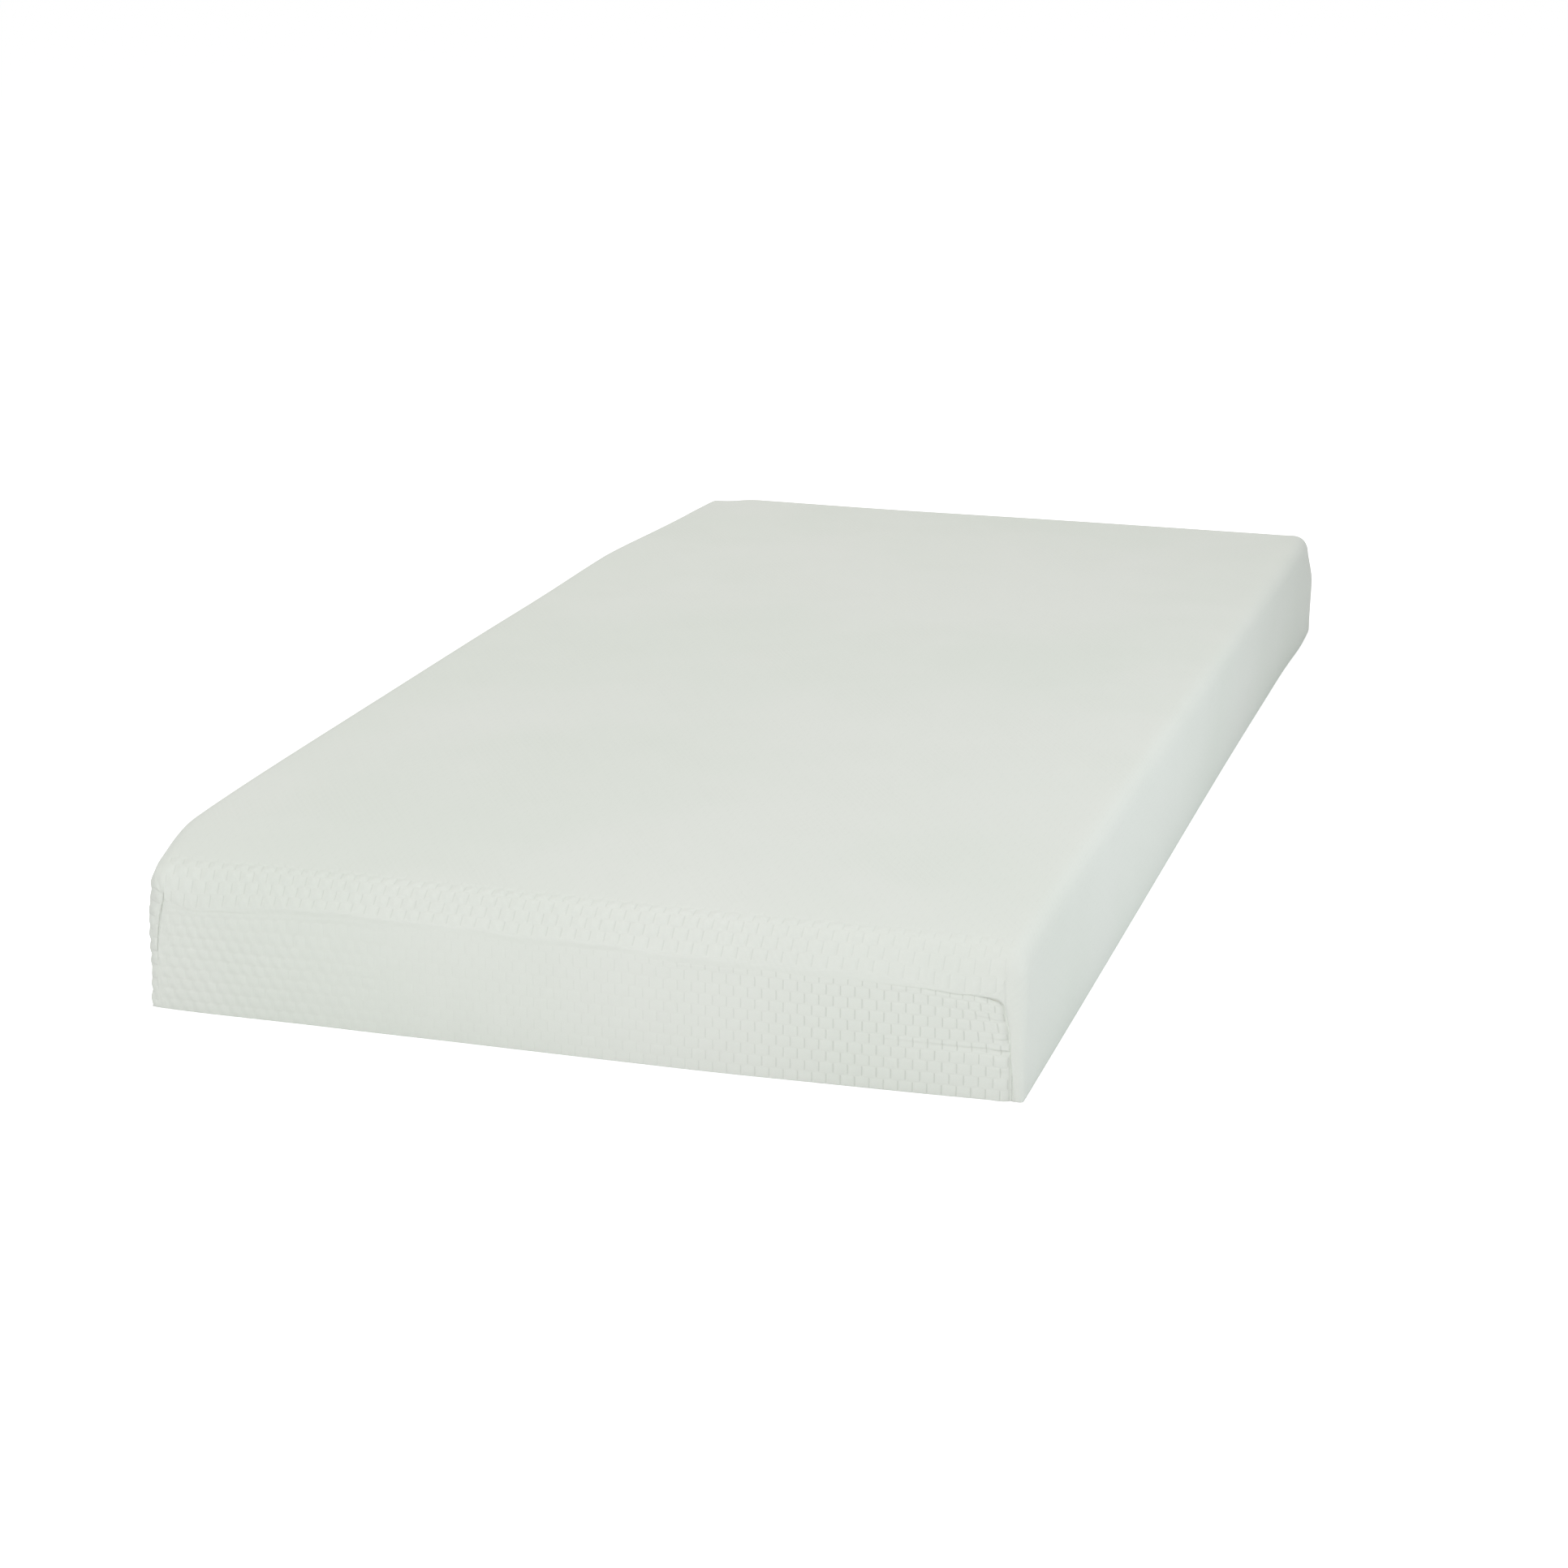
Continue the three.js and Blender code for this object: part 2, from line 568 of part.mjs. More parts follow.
// The pull tab lies back over the closed coils. Its cross bar is the hinge.
function addPull() {
  const windowHalf = BRIDGE_WIDTH / 2 + SLIDER_PLAY;
  const windowEnd = BRIDGE_SPAN / 2 + 2 * SLIDER_PLAY;
  const headHalf = windowHalf + PULL_ARM;
  const tipRadius = PULL_WIDTH / 2;
  const neck = windowEnd + PULL_ARM;
  const outline = new THREE.Shape();
  outline.moveTo(0, -headHalf);
  outline.lineTo(0, headHalf);
  outline.lineTo(-neck, headHalf);
  outline.quadraticCurveTo(-neck - PULL_ARM, headHalf, -neck - 2 * PULL_ARM, tipRadius);
  outline.lineTo(tipRadius - PULL_LENGTH, tipRadius);
  outline.absarc(tipRadius - PULL_LENGTH, 0, tipRadius, Math.PI / 2, 1.5 * Math.PI);
  outline.lineTo(-neck - 2 * PULL_ARM, -tipRadius);
  outline.quadraticCurveTo(-neck - PULL_ARM, -headHalf, -neck, -headHalf);
  const gripHole = new THREE.Path();
  gripHole.absarc(2 * tipRadius - PULL_LENGTH, 0, PULL_HOLE_RADIUS, 0, 2 * Math.PI);
  outline.holes.push(gripHole);
  const tab = uprightPlate(outline, -PULL_THICKNESS / 2, PULL_THICKNESS / 2, 8);

  const windowLength = windowEnd + PULL_THICKNESS;
  const window = new THREE.BoxGeometry(windowLength, 2 * PULL_THICKNESS, 2 * windowHalf);
  window.translate(windowLength / 2 - windowEnd, 0, 0);
  const bar = new THREE.CylinderGeometry(PULL_BAR_RADIUS, PULL_BAR_RADIUS, 2 * headHalf, 12);
  bar.rotateX(Math.PI / 2);
  const body = solid(tab).subtract(solid(window)).add(solid(bar));
  const mesh = addPiece("zip_pull", geometryOf(body), ZIP_METAL, slider);
  mesh.position.y = PULL_AXIS;
}

addFoams();
addFlameBarrier();
addCover();
addUnderside();
addTapes();
addCoils();
addStops();
addSlider();
addPull();

export default group;
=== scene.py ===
"""Memory foam mattress: the fabric, foam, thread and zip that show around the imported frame.

Metres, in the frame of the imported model: X across the bed, -Y the foot end, +Y the head end with the
zip, +Z up. Every cloth is worked out from its own flat measures: "across" runs over the bed from hem
to hem and "along" runs from the foot to the head, both measured on the cloth.
"""

import math
from functools import partialmethod

import bmesh
import bpy
import numpy as np
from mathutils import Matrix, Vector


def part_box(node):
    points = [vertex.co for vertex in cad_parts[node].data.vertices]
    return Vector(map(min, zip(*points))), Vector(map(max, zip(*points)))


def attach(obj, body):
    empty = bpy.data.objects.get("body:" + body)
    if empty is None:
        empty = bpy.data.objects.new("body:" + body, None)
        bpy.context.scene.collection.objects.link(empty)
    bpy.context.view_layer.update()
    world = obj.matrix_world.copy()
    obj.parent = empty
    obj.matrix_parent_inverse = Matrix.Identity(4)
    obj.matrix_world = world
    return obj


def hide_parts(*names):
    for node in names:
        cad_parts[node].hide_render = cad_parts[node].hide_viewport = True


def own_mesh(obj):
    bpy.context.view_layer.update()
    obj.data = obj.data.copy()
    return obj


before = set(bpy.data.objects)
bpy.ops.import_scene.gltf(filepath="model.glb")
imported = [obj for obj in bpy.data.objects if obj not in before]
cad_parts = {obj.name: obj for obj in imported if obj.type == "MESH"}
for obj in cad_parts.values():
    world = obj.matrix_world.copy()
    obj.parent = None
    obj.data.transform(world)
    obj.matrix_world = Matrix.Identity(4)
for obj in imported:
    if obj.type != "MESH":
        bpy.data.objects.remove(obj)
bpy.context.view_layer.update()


# ---- Measures ----


def corners(node):
    """Lowest and highest corner of a node of the frame."""
    return tuple(np.array(corner, float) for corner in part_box(node))


def smooth(value, start, end):
    """An even S curve from 0 at start to 1 at end, either of which may be the larger."""
    share = np.clip((value - start) / (end - start), 0, 1)
    return share * share * (3 - 2 * share)


def bell(value, centre, width):
    """1 at the centre, falling off on both sides as a bell curve."""
    return np.exp(-(((value - centre) / width) ** 2))


def evenly(start, end, step):
    """Stations from start to end, evenly spaced, at most step apart."""
    return np.linspace(start, end, int(math.ceil((end - start) / step)) + 1)


QUARTER = math.pi / 2
HALF_WIDTH, HALF_LENGTH, THICKNESS = corners("cover_top")[1]
SEAM_HALF, _, SEAM_TOP = corners("foot_end_panel")[1]
ROLL = THICKNESS - SEAM_TOP  # radius of the soft edge at the foot and at the head
SIDE_ROLL = 0.022  # radius of the tighter edge along the two long sides
FLAT_HALF = HALF_WIDTH - SIDE_ROLL  # half of the flat top
UPRIGHT = THICKNESS - SIDE_ROLL  # height of a long side below its soft edge
CORNER = 0.0035  # radius of the four upright corners at the floor
UPPER_CORNER = 0.0205  # their radius just below the soft edge
PANEL_CORNER = 0.0115  # radius of an end panel's upper corners
SEAM_LEAN = 0.008  # how much narrower an end panel is at its top than at the floor
SIDE_ARC = SIDE_ROLL * QUARTER
ACROSS_HALF = FLAT_HALF + SIDE_ARC + UPRIGHT  # from the middle of the top down to a hem
EASED_TOP = 0.030  # length of flat top beside an end's soft edge over which the cloth is spaced out
END_REACH = ROLL + EASED_TOP
CLOTH_WALL = 0.0021  # thickness of the knit

ROLL_CELL = (0.0156, 0.0137)  # embossed cells of the knit where it is stretched over the foot edge
ROLL_ROWS = 0.0085  # where their first row starts, measured up from the foot seam
PANEL_CELL = (0.0148, 0.0120)  # the same cells on the end panels
CELL_LINE = 0.0007  # half the width of the lines between the cells

SEAM_DEPTH = 0.0036  # how deep the seams of the end panels sink in
HEAD_DRAW = 0.7  # the head seam's share of that depth
LEFT_DRAW, CORNER_DRAW, SIDE_DRAW = 0.05, 0.18, 0.77  # the foot seam's shares, which add up to the right
COVER_SLIT, PANEL_SLIT, HEM_SLIT = 0.0014, 0.0013, 0.0016  # half widths of the grooves at the seams
SHOULDER_WIDTH = 0.0048  # half width of the shoulder beside an end panel's groove
LEFT_FULL = 0.3  # share by which the foot edge reaches in less at the left corner
FULL_WAY = 0.0676  # length from the foot over which the mattress comes to its full height
SAG_LENGTH, SAG_SPAN = 0.46, 0.1062  # how far the far left edge's sag reaches along and across


def foot_bend(flatness=0.9, count=201):
    """The foot edge's section: a quarter turn of size 1 that is flatter in its middle than a circle.

    Its slope turns from upright to level by pi / 2 times (s + flatness sin(2 pi s) / (2 pi)) at the
    share s of its length. Gives s, the height gained, the way in, the slope and the whole length.
    """
    share = np.linspace(0, 1, count)
    slope = QUARTER * (share + flatness * np.sin(2 * math.pi * share) / (2 * math.pi))
    between = (slope[1:] + slope[:-1]) / 2
    rise, back = (np.concatenate([[0], np.cumsum(part)]) for part in (np.cos(between), np.sin(between)))
    return share, rise / rise[-1], back / rise[-1], slope, (count - 1) / rise[-1]


BEND_SHARE, BEND_RISE, BEND_BACK, BEND_SLOPE, BEND_LENGTH = foot_bend()
END_CLOTH = ROLL * BEND_LENGTH + EASED_TOP  # the cloth that a turn at an end takes on the top
ALONG = 2 * (HALF_LENGTH - END_REACH + END_CLOTH)  # from the foot seam to the head seam


def seam_half(height):
    """Half of an end panel's width at a height: even near the floor, then leaning in to the top."""
    return SEAM_HALF - SEAM_LEAN * smooth(height, 0.050, SEAM_TOP)


def upright_corner(height):
    """Radius of the upright corners at a height: tight at the floor, opening quickly above it."""
    return CORNER + (UPPER_CORNER - CORNER) * np.clip(height / UPRIGHT, 0, 1) ** 0.5


# ---- Meshes ----


def linked(name, data):
    """A new object in the scene that shows the data."""
    obj = bpy.data.objects.new(name, data)
    bpy.context.scene.collection.objects.link(obj)
    return obj


def new_object(name, points, quads=(), triangles=(), uv=None, relief_and_shade=None, smooth_angle=55):
    """Puts points and faces into a mesh object at the origin. uv and crease hold one value a point."""
    quads, triangles = np.reshape(quads, (-1, 4)), np.reshape(triangles, (-1, 3))
    loops = np.concatenate([quads.ravel(), triangles.ravel()]).astype(np.int32)
    totals = np.repeat([4, 3], [len(quads), len(triangles)])
    mesh = bpy.data.meshes.new(name)
    mesh.vertices.add(len(points))
    mesh.vertices.foreach_set("co", np.asarray(points, np.float32).ravel())
    mesh.loops.add(len(loops))
    mesh.loops.foreach_set("vertex_index", loops)
    mesh.polygons.add(len(totals))
    mesh.polygons.foreach_set("loop_start", (np.cumsum(totals) - totals).astype(np.int32))
    mesh.update(calc_edges=True)
    if uv is not None:
        layer = mesh.uv_layers.new(name="cloth")
        layer.data.foreach_set("uv", np.asarray(uv, np.float32)[loops].ravel())
    if relief_and_shade is not None:
        attribute = mesh.attributes.new("relief_and_shade", "FLOAT", "POINT")
        attribute.data.foreach_set("value", np.asarray(relief_and_shade, np.float32))
    mesh.polygons.foreach_set("use_smooth", np.ones(len(totals), bool))
    mesh.set_sharp_from_angle(angle=math.radians(smooth_angle))
    return linked(name, mesh)


def tidy_mesh(obj, distance, flat_angle=None):
    """Merges points that lie together, then joins flat faces, or drops empty ones and turns all outwards."""
    work = bmesh.new()
    work.from_mesh(obj.data)
    bmesh.ops.remove_doubles(work, verts=work.verts, dist=distance)
    if flat_angle:
        bmesh.ops.dissolve_limit(work, angle_limit=flat_angle, verts=work.verts, edges=work.edges)
    else:
        bmesh.ops.dissolve_degenerate(work, edges=work.edges, dist=distance)
        bmesh.ops.recalc_face_normals(work, faces=work.faces)
    work.to_mesh(obj.data)
    work.free()
    return obj


def grid_quads(index):
    """The quads of grids of vertex numbers, rows by columns; they face columns crossed with rows."""
    lower, upper = index[..., :-1, :], index[..., 1:, :]
    in_turn = lower[..., :-1], lower[..., 1:], upper[..., 1:], upper[..., :-1]
    return np.stack(in_turn, axis=-1).reshape(-1, 4)


def numbered(points):
    """The numbers of the vertices in a grid of points."""
    return np.arange(points[..., 0].size).reshape(points.shape[:-1])


def carried(sections):
    """Quads of a closed profile carried along a path: sections holds stations by profile by 3."""
    index = numbered(sections)
    return grid_quads(np.concatenate([index, index[..., :1]], axis=-1))


def shares(stations):
    """Stations as shares of the whole way from the first to the last."""
    return (stations - stations[0]) / (stations[-1] - stations[0])


def joined(first, second, first_share, second_share):
    """Triangles between two rows of vertices with their own spacing.

    Both rows are walked together by their shares of the whole way, and each step to the next vertex
    of either row makes one triangle with the vertex last reached on the other row. They face the
    rows' direction crossed with the way from the first row to the second.
    """
    order = np.argsort(np.concatenate([first_share[1:], second_share[1:]]), kind="stable")
    on_first = order < len(first) - 1
    i, j = np.cumsum(on_first), np.cumsum(~on_first)
    back_i, back_j = i - on_first, j - ~on_first
    third = np.where(on_first, second[j], second[back_j])
    return np.stack([first[back_i], np.where(on_first, first[i], second[j]), third], axis=1)


def cloth(name, place, zones, lining, wall=CLOTH_WALL, relief_and_shade=None):
    """A closed sheet of cloth: an outer face, an inner face and the four rims between them.

    place(across, along, depth) gives the points for two grids of flat measures, at a depth into the
    wall. zones are (across, along) pairs of stations, one after the other along the cloth, which are
    joined with triangles where their spacing differs. lining is the pair for the inner face.
    """
    points, uv, reliefs_and_shades, grids, count = [], [], [], [], 0
    for (across, along), depth in [(zone, 0.0) for zone in zones] + [(lining, wall)]:
        u, v = np.meshgrid(across, along)
        points.append(place(u, v, depth).reshape(-1, 3))
        uv.append(np.stack([u.ravel(), v.ravel()], axis=-1))
        reliefs_and_shades.append(relief_and_shade(u, v).ravel() if relief_and_shade else u.ravel())
        grids.append(count + np.arange(u.size).reshape(u.shape))
        count += u.size
    outer, inner = grids[:-1], grids[-1]
    quads = [*map(grid_quads, outer), grid_quads(inner)[:, ::-1]]
    over = [shares(across) for across, _ in zones]
    whole = shares(np.concatenate([along for _, along in zones]))
    inner_over, inner_whole = map(shares, lining)
    left, right = (np.concatenate([grid[:, edge] for grid in outer]) for edge in (0, -1))
    triangles = [joined(a[-1], b[0], c, d) for a, b, c, d in zip(outer, outer[1:], over, over[1:])]
    triangles += [
        joined(inner[0], outer[0][0], inner_over, over[0]),
        joined(outer[-1][-1], inner[-1], over[-1], inner_over),
        joined(left, inner[:, 0], whole, inner_whole),
        joined(inner[:, -1], right, inner_whole, whole),
    ]
    points, quads, triangles, uv, reliefs_and_shades = map(np.concatenate, (points, quads, triangles, uv, reliefs_and_shades))
    return new_object(name, points, quads, triangles, uv, reliefs_and_shades if relief_and_shade else None)


# ---- How the stuffed cover settles: a cloth simulation and the sags of this mattress ----

SWELL_POINTS = (25, 45, 7)  # lattice of the coarse cover: across, along and up
SWELL_FRAMES = 20
SWELL_CLOTH = {
    "quality": 6,
    "mass": 0.3,
    "tension_stiffness": 15,
    "compression_stiffness": 15,
    "shear_stiffness": 10,
    "bending_stiffness": 1.0,
    "use_pressure": True,
    "uniform_pressure_force": 4,
    "vertex_group_mass": "held",
}
# For each face that swells: its axis, its way out along it and the most that it may be pushed out.
SWELL_FACES = {
    "top": (2, 1, 0.0025),
    "left": (0, -1, 0.0030),
    "right": (0, 1, 0.0025),
    "foot": (1, -1, 0.0025),
}


def swell_cage():
    """The lattice points on the faces of the mattress's box, and each face's grid of their numbers."""
    ends = ((-HALF_WIDTH, HALF_WIDTH), (-HALF_LENGTH, HALF_LENGTH), (0, THICKNESS))
    stations = [np.linspace(*end, count) for end, count in zip(ends, SWELL_POINTS)]
    skin = np.ones(SWELL_POINTS, bool)
    skin[1:-1, 1:-1, 1:-1] = False
    index = np.full(SWELL_POINTS, -1)
    index[skin] = np.arange(skin.sum())
    faces = {
        "top": index[:, :, -1],
        "bottom": index[:, :, 0],
        "left": index[0],
        "right": index[-1],
        "foot": index[:, 0],
        "head": index[:, -1],
    }
    return np.stack(np.meshgrid(*stations, indexing="ij"), axis=-1)[skin], faces


def cloth_swelling():
    """How far the foam pushes out each face of the cover, as a grid for each face.

    The coarse cover is a closed cloth under a small pressure without gravity, held where it lies on
    the bed and where the zip keeps the head end flat. Its way out at the last frame is the swelling,
    which levels off at each face's cap as a hyperbolic tangent of twice its share of the largest.
    """
    points, faces = swell_cage()
    turned = ("top", "right", "foot")
    quads = [grid_quads(face.T if name in turned else face) for name, face in faces.items()]
    cage = new_object("swell_cage", points, np.concatenate(quads))
    held = np.unique(np.concatenate([faces["bottom"].ravel(), faces["head"].ravel()]))
    cage.vertex_groups.new(name="held").add(held.tolist(), 1, "REPLACE")
    swell = cage.modifiers.new("swell", "CLOTH")
    for setting, value in SWELL_CLOTH.items():
        setattr(swell.settings, setting, value)
    swell.settings.effector_weights.gravity = 0
    swell.collision_settings.use_collision = False
    swell.point_cache.frame_start, swell.point_cache.frame_end = 1, SWELL_FRAMES
    for number in range(1, SWELL_FRAMES + 1):
        bpy.context.scene.frame_set(number)
    pushed = cage.evaluated_get(bpy.context.evaluated_depsgraph_get()).to_mesh()
    after = np.zeros(len(points) * 3, np.float32)
    pushed.vertices.foreach_get("co", after)
    moved = after.reshape(-1, 3).astype(float) - points
    bpy.context.scene.frame_set(1)
    bpy.data.meshes.remove(cage.data)
    swelling = {}
    for face, (axis, way, most) in SWELL_FACES.items():
        out = np.maximum(way * moved[faces[face]][..., axis], 0)
        swelling[face] = most * np.tanh(2 * out / max(out.max(), 1e-9))
    return swelling


swelling = cloth_swelling()


def read_grid(face, first, second):
    """Smooth reading of a face's swelling at shares of its two sides, with cubic spline weights."""
    grid = swelling[face]
    result, steps = 0, []
    for share, size in zip((first, second), grid.shape):
        at = np.clip(share, 0, 1) * (size - 1)
        cell = np.minimum(at.astype(int), size - 2)
        t = at - cell
        weights = ((1 - t) ** 3, 3 * t**3 - 6 * t**2 + 4, -3 * t**3 + 3 * t**2 + 3 * t + 1, t**3)
        steps.append([(np.clip(cell + k - 1, 0, size - 1), weight / 6) for k, weight in enumerate(weights)])
    for row, row_weight in steps[0]:
        for column, column_weight in steps[1]:
            result = result + grid[row, column] * row_weight * column_weight
    return result


def seam_shift(x):
    """How far the top seam of the foot panel wanders up or down along x: a fall near the right corner,
    a climb to the left, a low hump on the left half and small waves, all fading out at its ends."""
    fall = -0.0050 * smooth(x, 0.30, 0.45) - 0.0036 * smooth(x, 0.422, 0.460)
    climb = 0.0045 * smooth(x, 0.22, -0.02) + 0.0036 * bell(x, -0.23, 0.10)
    waves = 0.0014 * np.sin(x * 39.5 - 0.45) * bell(x, 0.01, 0.24) + 0.0004 * np.sin(x * 81 + 1.9)
    inside = SEAM_HALF - np.abs(x)
    return fall + climb * smooth(inside, 0.012, 0.15) + waves * smooth(inside, 0.012, 0.06)


def settled(points):
    """Moves points as the whole stuffed mattress has settled.

    Adds a list of moves to each point. A move is a way in x, y and z times a weight, and a weight is a
    product of S curves, bells and powers of the point's place. The first four are the simulated
    swelling, which fades from each face into the body.
    """
    x, y, z = np.moveaxis(points, -1, 0)
    across, up, share_up = x / HALF_WIDTH, z / THICKNESS, np.clip(z / THICKNESS, 0, 1)
    from_foot, from_head = HALF_LENGTH + y, HALF_LENGTH - y
    from_left, from_right = HALF_WIDTH + x, HALF_WIDTH - x
    along, over = from_foot / (2 * HALF_LENGTH), (across + 1) / 2
    left, upper = smooth(-across, 0.3, 1), smooth(z, 0.080, 0.140)
    built_up = 1 - np.exp(-np.maximum(from_foot, 0) / FULL_WAY)
    left_edge = smooth(-across, 0.7, 1) * upper
    sag = np.clip(1 - from_head / SAG_LENGTH, 0, 1) ** 1.15 * smooth(from_left, SAG_SPAN, -0.004)
    far_left = smooth(from_left, 0.100, 0.010) * smooth(from_head, 0.13, 0.01) * smooth(z, 0.080, 0.145)
    far_right = smooth(from_right, 0.070, 0.015) * smooth(from_head, 0.10, 0.02)
    head_edge = smooth(from_head, 0.15, 0.02) * share_up
    right_hem = smooth(across, 0.8, 1) * smooth(z, 0.100, 0.030)
    moves = (
        ((1, 0, 0), read_grid("right", along, up) * np.clip(across, 0, 1) ** 3),
        ((-1, 0, 0), read_grid("left", along, up) * np.clip(-across, 0, 1) ** 3),
        ((0, -1, 0), read_grid("foot", over, up) * np.clip(1 - from_foot / 0.25, 0, 1) ** 2),
        ((0, 0, 1), read_grid("top", over, along) * share_up),
        # The foot end bows out at its middle, and its left corner stands out and is drawn in.
        ((0, -0.0158, 0), (1 - across**2) * smooth(from_foot, 1.2, 0)),
        ((0, -0.0082, 0), smooth(-across, 0, 1) * smooth(from_foot, 0.9, 0)),
        ((0, -0.0080, 0), smooth(-across, 0.5, 1) * smooth(from_foot, 0.35, 0)),
        ((0.0140, 0, 0), left * smooth(from_foot, 0.16, 0.02)),
        ((0.0036, 0, 0), left * smooth(z, 0.102, 0.130) * smooth(from_foot, 0.05, 0.012)),
        # The foam stands fuller in the lower half of the bed, and the left side leans out.
        ((0, 0, 0.0105), up * built_up * smooth(from_foot, 1.9, 0.4)),
        ((-0.0136, 0, 0), up * left * built_up * (1 - 0.8 * smooth(from_foot, 0.9, 1.8))),
        # The left top edge puffs out near the foot and again near the head, then sags and draws in.
        ((-0.0020, 0, 0.0017), left_edge * bell(y, -0.77, 0.32) * smooth(from_foot, 0.04, 0.16)),
        ((-0.0030, 0, 0.0026), left_edge * bell(y, 0.50, 0.20)),
        ((0.0117, 0, -0.0095), sag * smooth(z, 0.065, 0.150)),
        # The far left corner's top is rounded off. The far right one hangs down over a slight bulge.
        ((0.0029, -0.0029, -0.001015), far_left),
        ((-0.0058, 0, 0), far_right * upper),
        ((0, 0, -0.0018), far_right * up**2),
        ((0.0020, 0, 0), far_right * bell(z, 0.085, 0.035)),
        # The head's top edge rises at the left corner and dips beside it.
        ((0, 0, 0.0022), head_edge * bell(x, -0.475, 0.035)),
        ((0, 0, -0.0014), head_edge * bell(x, -0.18, 0.20)),
        # The right hem curves in along the bed and out again near the head.
        ((-0.0025, 0, 0), right_hem * bell(y, 0.18, 0.60)),
        ((0.0032, 0, 0), right_hem * bell(y, 0.86, 0.10)),
        # The foot panel's top seam wanders.
        ((0, 0, 1), seam_shift(x) * bell(z, SEAM_TOP, 0.020) * smooth(from_foot, 0.040, 0.002)),
    )
    return points + sum(np.multiply.outer(weight, way) for way, weight in moves)


# ---- The embossed knit ----

RIM_STATIONS = np.array([0, 0.0004, 0.0010])  # the stations nearest to a cloth's rim, measured from it
RIM_CLEARANCE = 0.15  # least way from the rim to the stations in the cells, as a share of a cell


def knit_cells(across, along, cell, pillow, tick, row_line=0.0, scale_like=0.0, soft=0.0):
    """Depth of the embossed cells below the cloth's face.

    Cells lie in rows like bricks, each row half a cell on from the last. Inside a cell the depth is
    pillow times one minus a dome: the product of two half sine waves. Where the cells are scale_like
    the dome rises slowly from its left end and falls quickly at its right end, and keeps its height
    over most of the row. Where they are soft it is a bump that runs on into the rows beside it: one
    half less half of a whole cosine along the row times the half sine across it. On the upright lines
    between cells the cloth is deeper by tick, and on the level ones by row_line, as narrow bells.
    """
    row = np.floor(along / cell[1])
    share = (across / cell[0] + 0.5 * (row % 2)) % 1
    height = along / cell[1] - row
    near_side, near_row = np.minimum(share, 1 - share), np.minimum(height, 1 - height)
    up = np.sin(np.pi * height)
    scale = smooth(share, 0, 0.5) * smooth(share, 1.0, 0.76) * up**0.5
    dome = np.sin(np.pi * share) * up * (1 - scale_like) + scale * scale_like
    dome = dome * (1 - soft) + (0.5 - 0.5 * np.cos(2 * np.pi * share) * up) * soft
    upright = bell(near_side * cell[0], 0, CELL_LINE) * smooth(near_row, 0.02, 0.16)
    return pillow * (1 - dome) + tick * upright + row_line * bell(near_row * cell[1], 0, CELL_LINE)


def seam_draw(across):
    """How strongly the foot seam draws the cloth in: barely at the left, fully from the right corner
    down the right side."""
    return LEFT_DRAW + CORNER_DRAW * smooth(across, 0.32, 0.44) + SIDE_DRAW * smooth(across, 0.440, 0.458)


def by_cells(start, end, cell, offsets):
    """Stations from start to end that repeat the same offsets, shares of a cell, in every cell."""
    first, last = math.floor(start / cell), math.ceil(end / cell)
    every = (np.arange(first, last)[:, None] + np.array(offsets)).ravel() * cell
    inside = every[(every > start + RIM_CLEARANCE * cell) & (every < end - RIM_CLEARANCE * cell)]
    return np.unique(np.concatenate([start + RIM_STATIONS, inside, end - RIM_STATIONS]))


# ---- Cover: one cloth over the top and both sides ----

# Widths of the flat top's edge over which the end seam draws in, the soft edge's radius grows, the foot
# edge's flatter bend comes in, and the foot edge reaches in less at the left.
SEAM_EASE, ROLL_EASE, BEND_EASE, LEFT_EASE = 0.14, 0.045, 0.110, 0.16
HEM_STATIONS = np.array([0.0028, 0.0018, 0.0009, 0])  # the last stations, measured up from the hem
EDGE_ROWS = np.array([0, 0.0006, 0.0012, 0.0019])  # the first rows of stations at the foot seam
WELT, HEAD_WELT = 0.0019, 0.0005  # heights of the ridges that the seam allowances raise


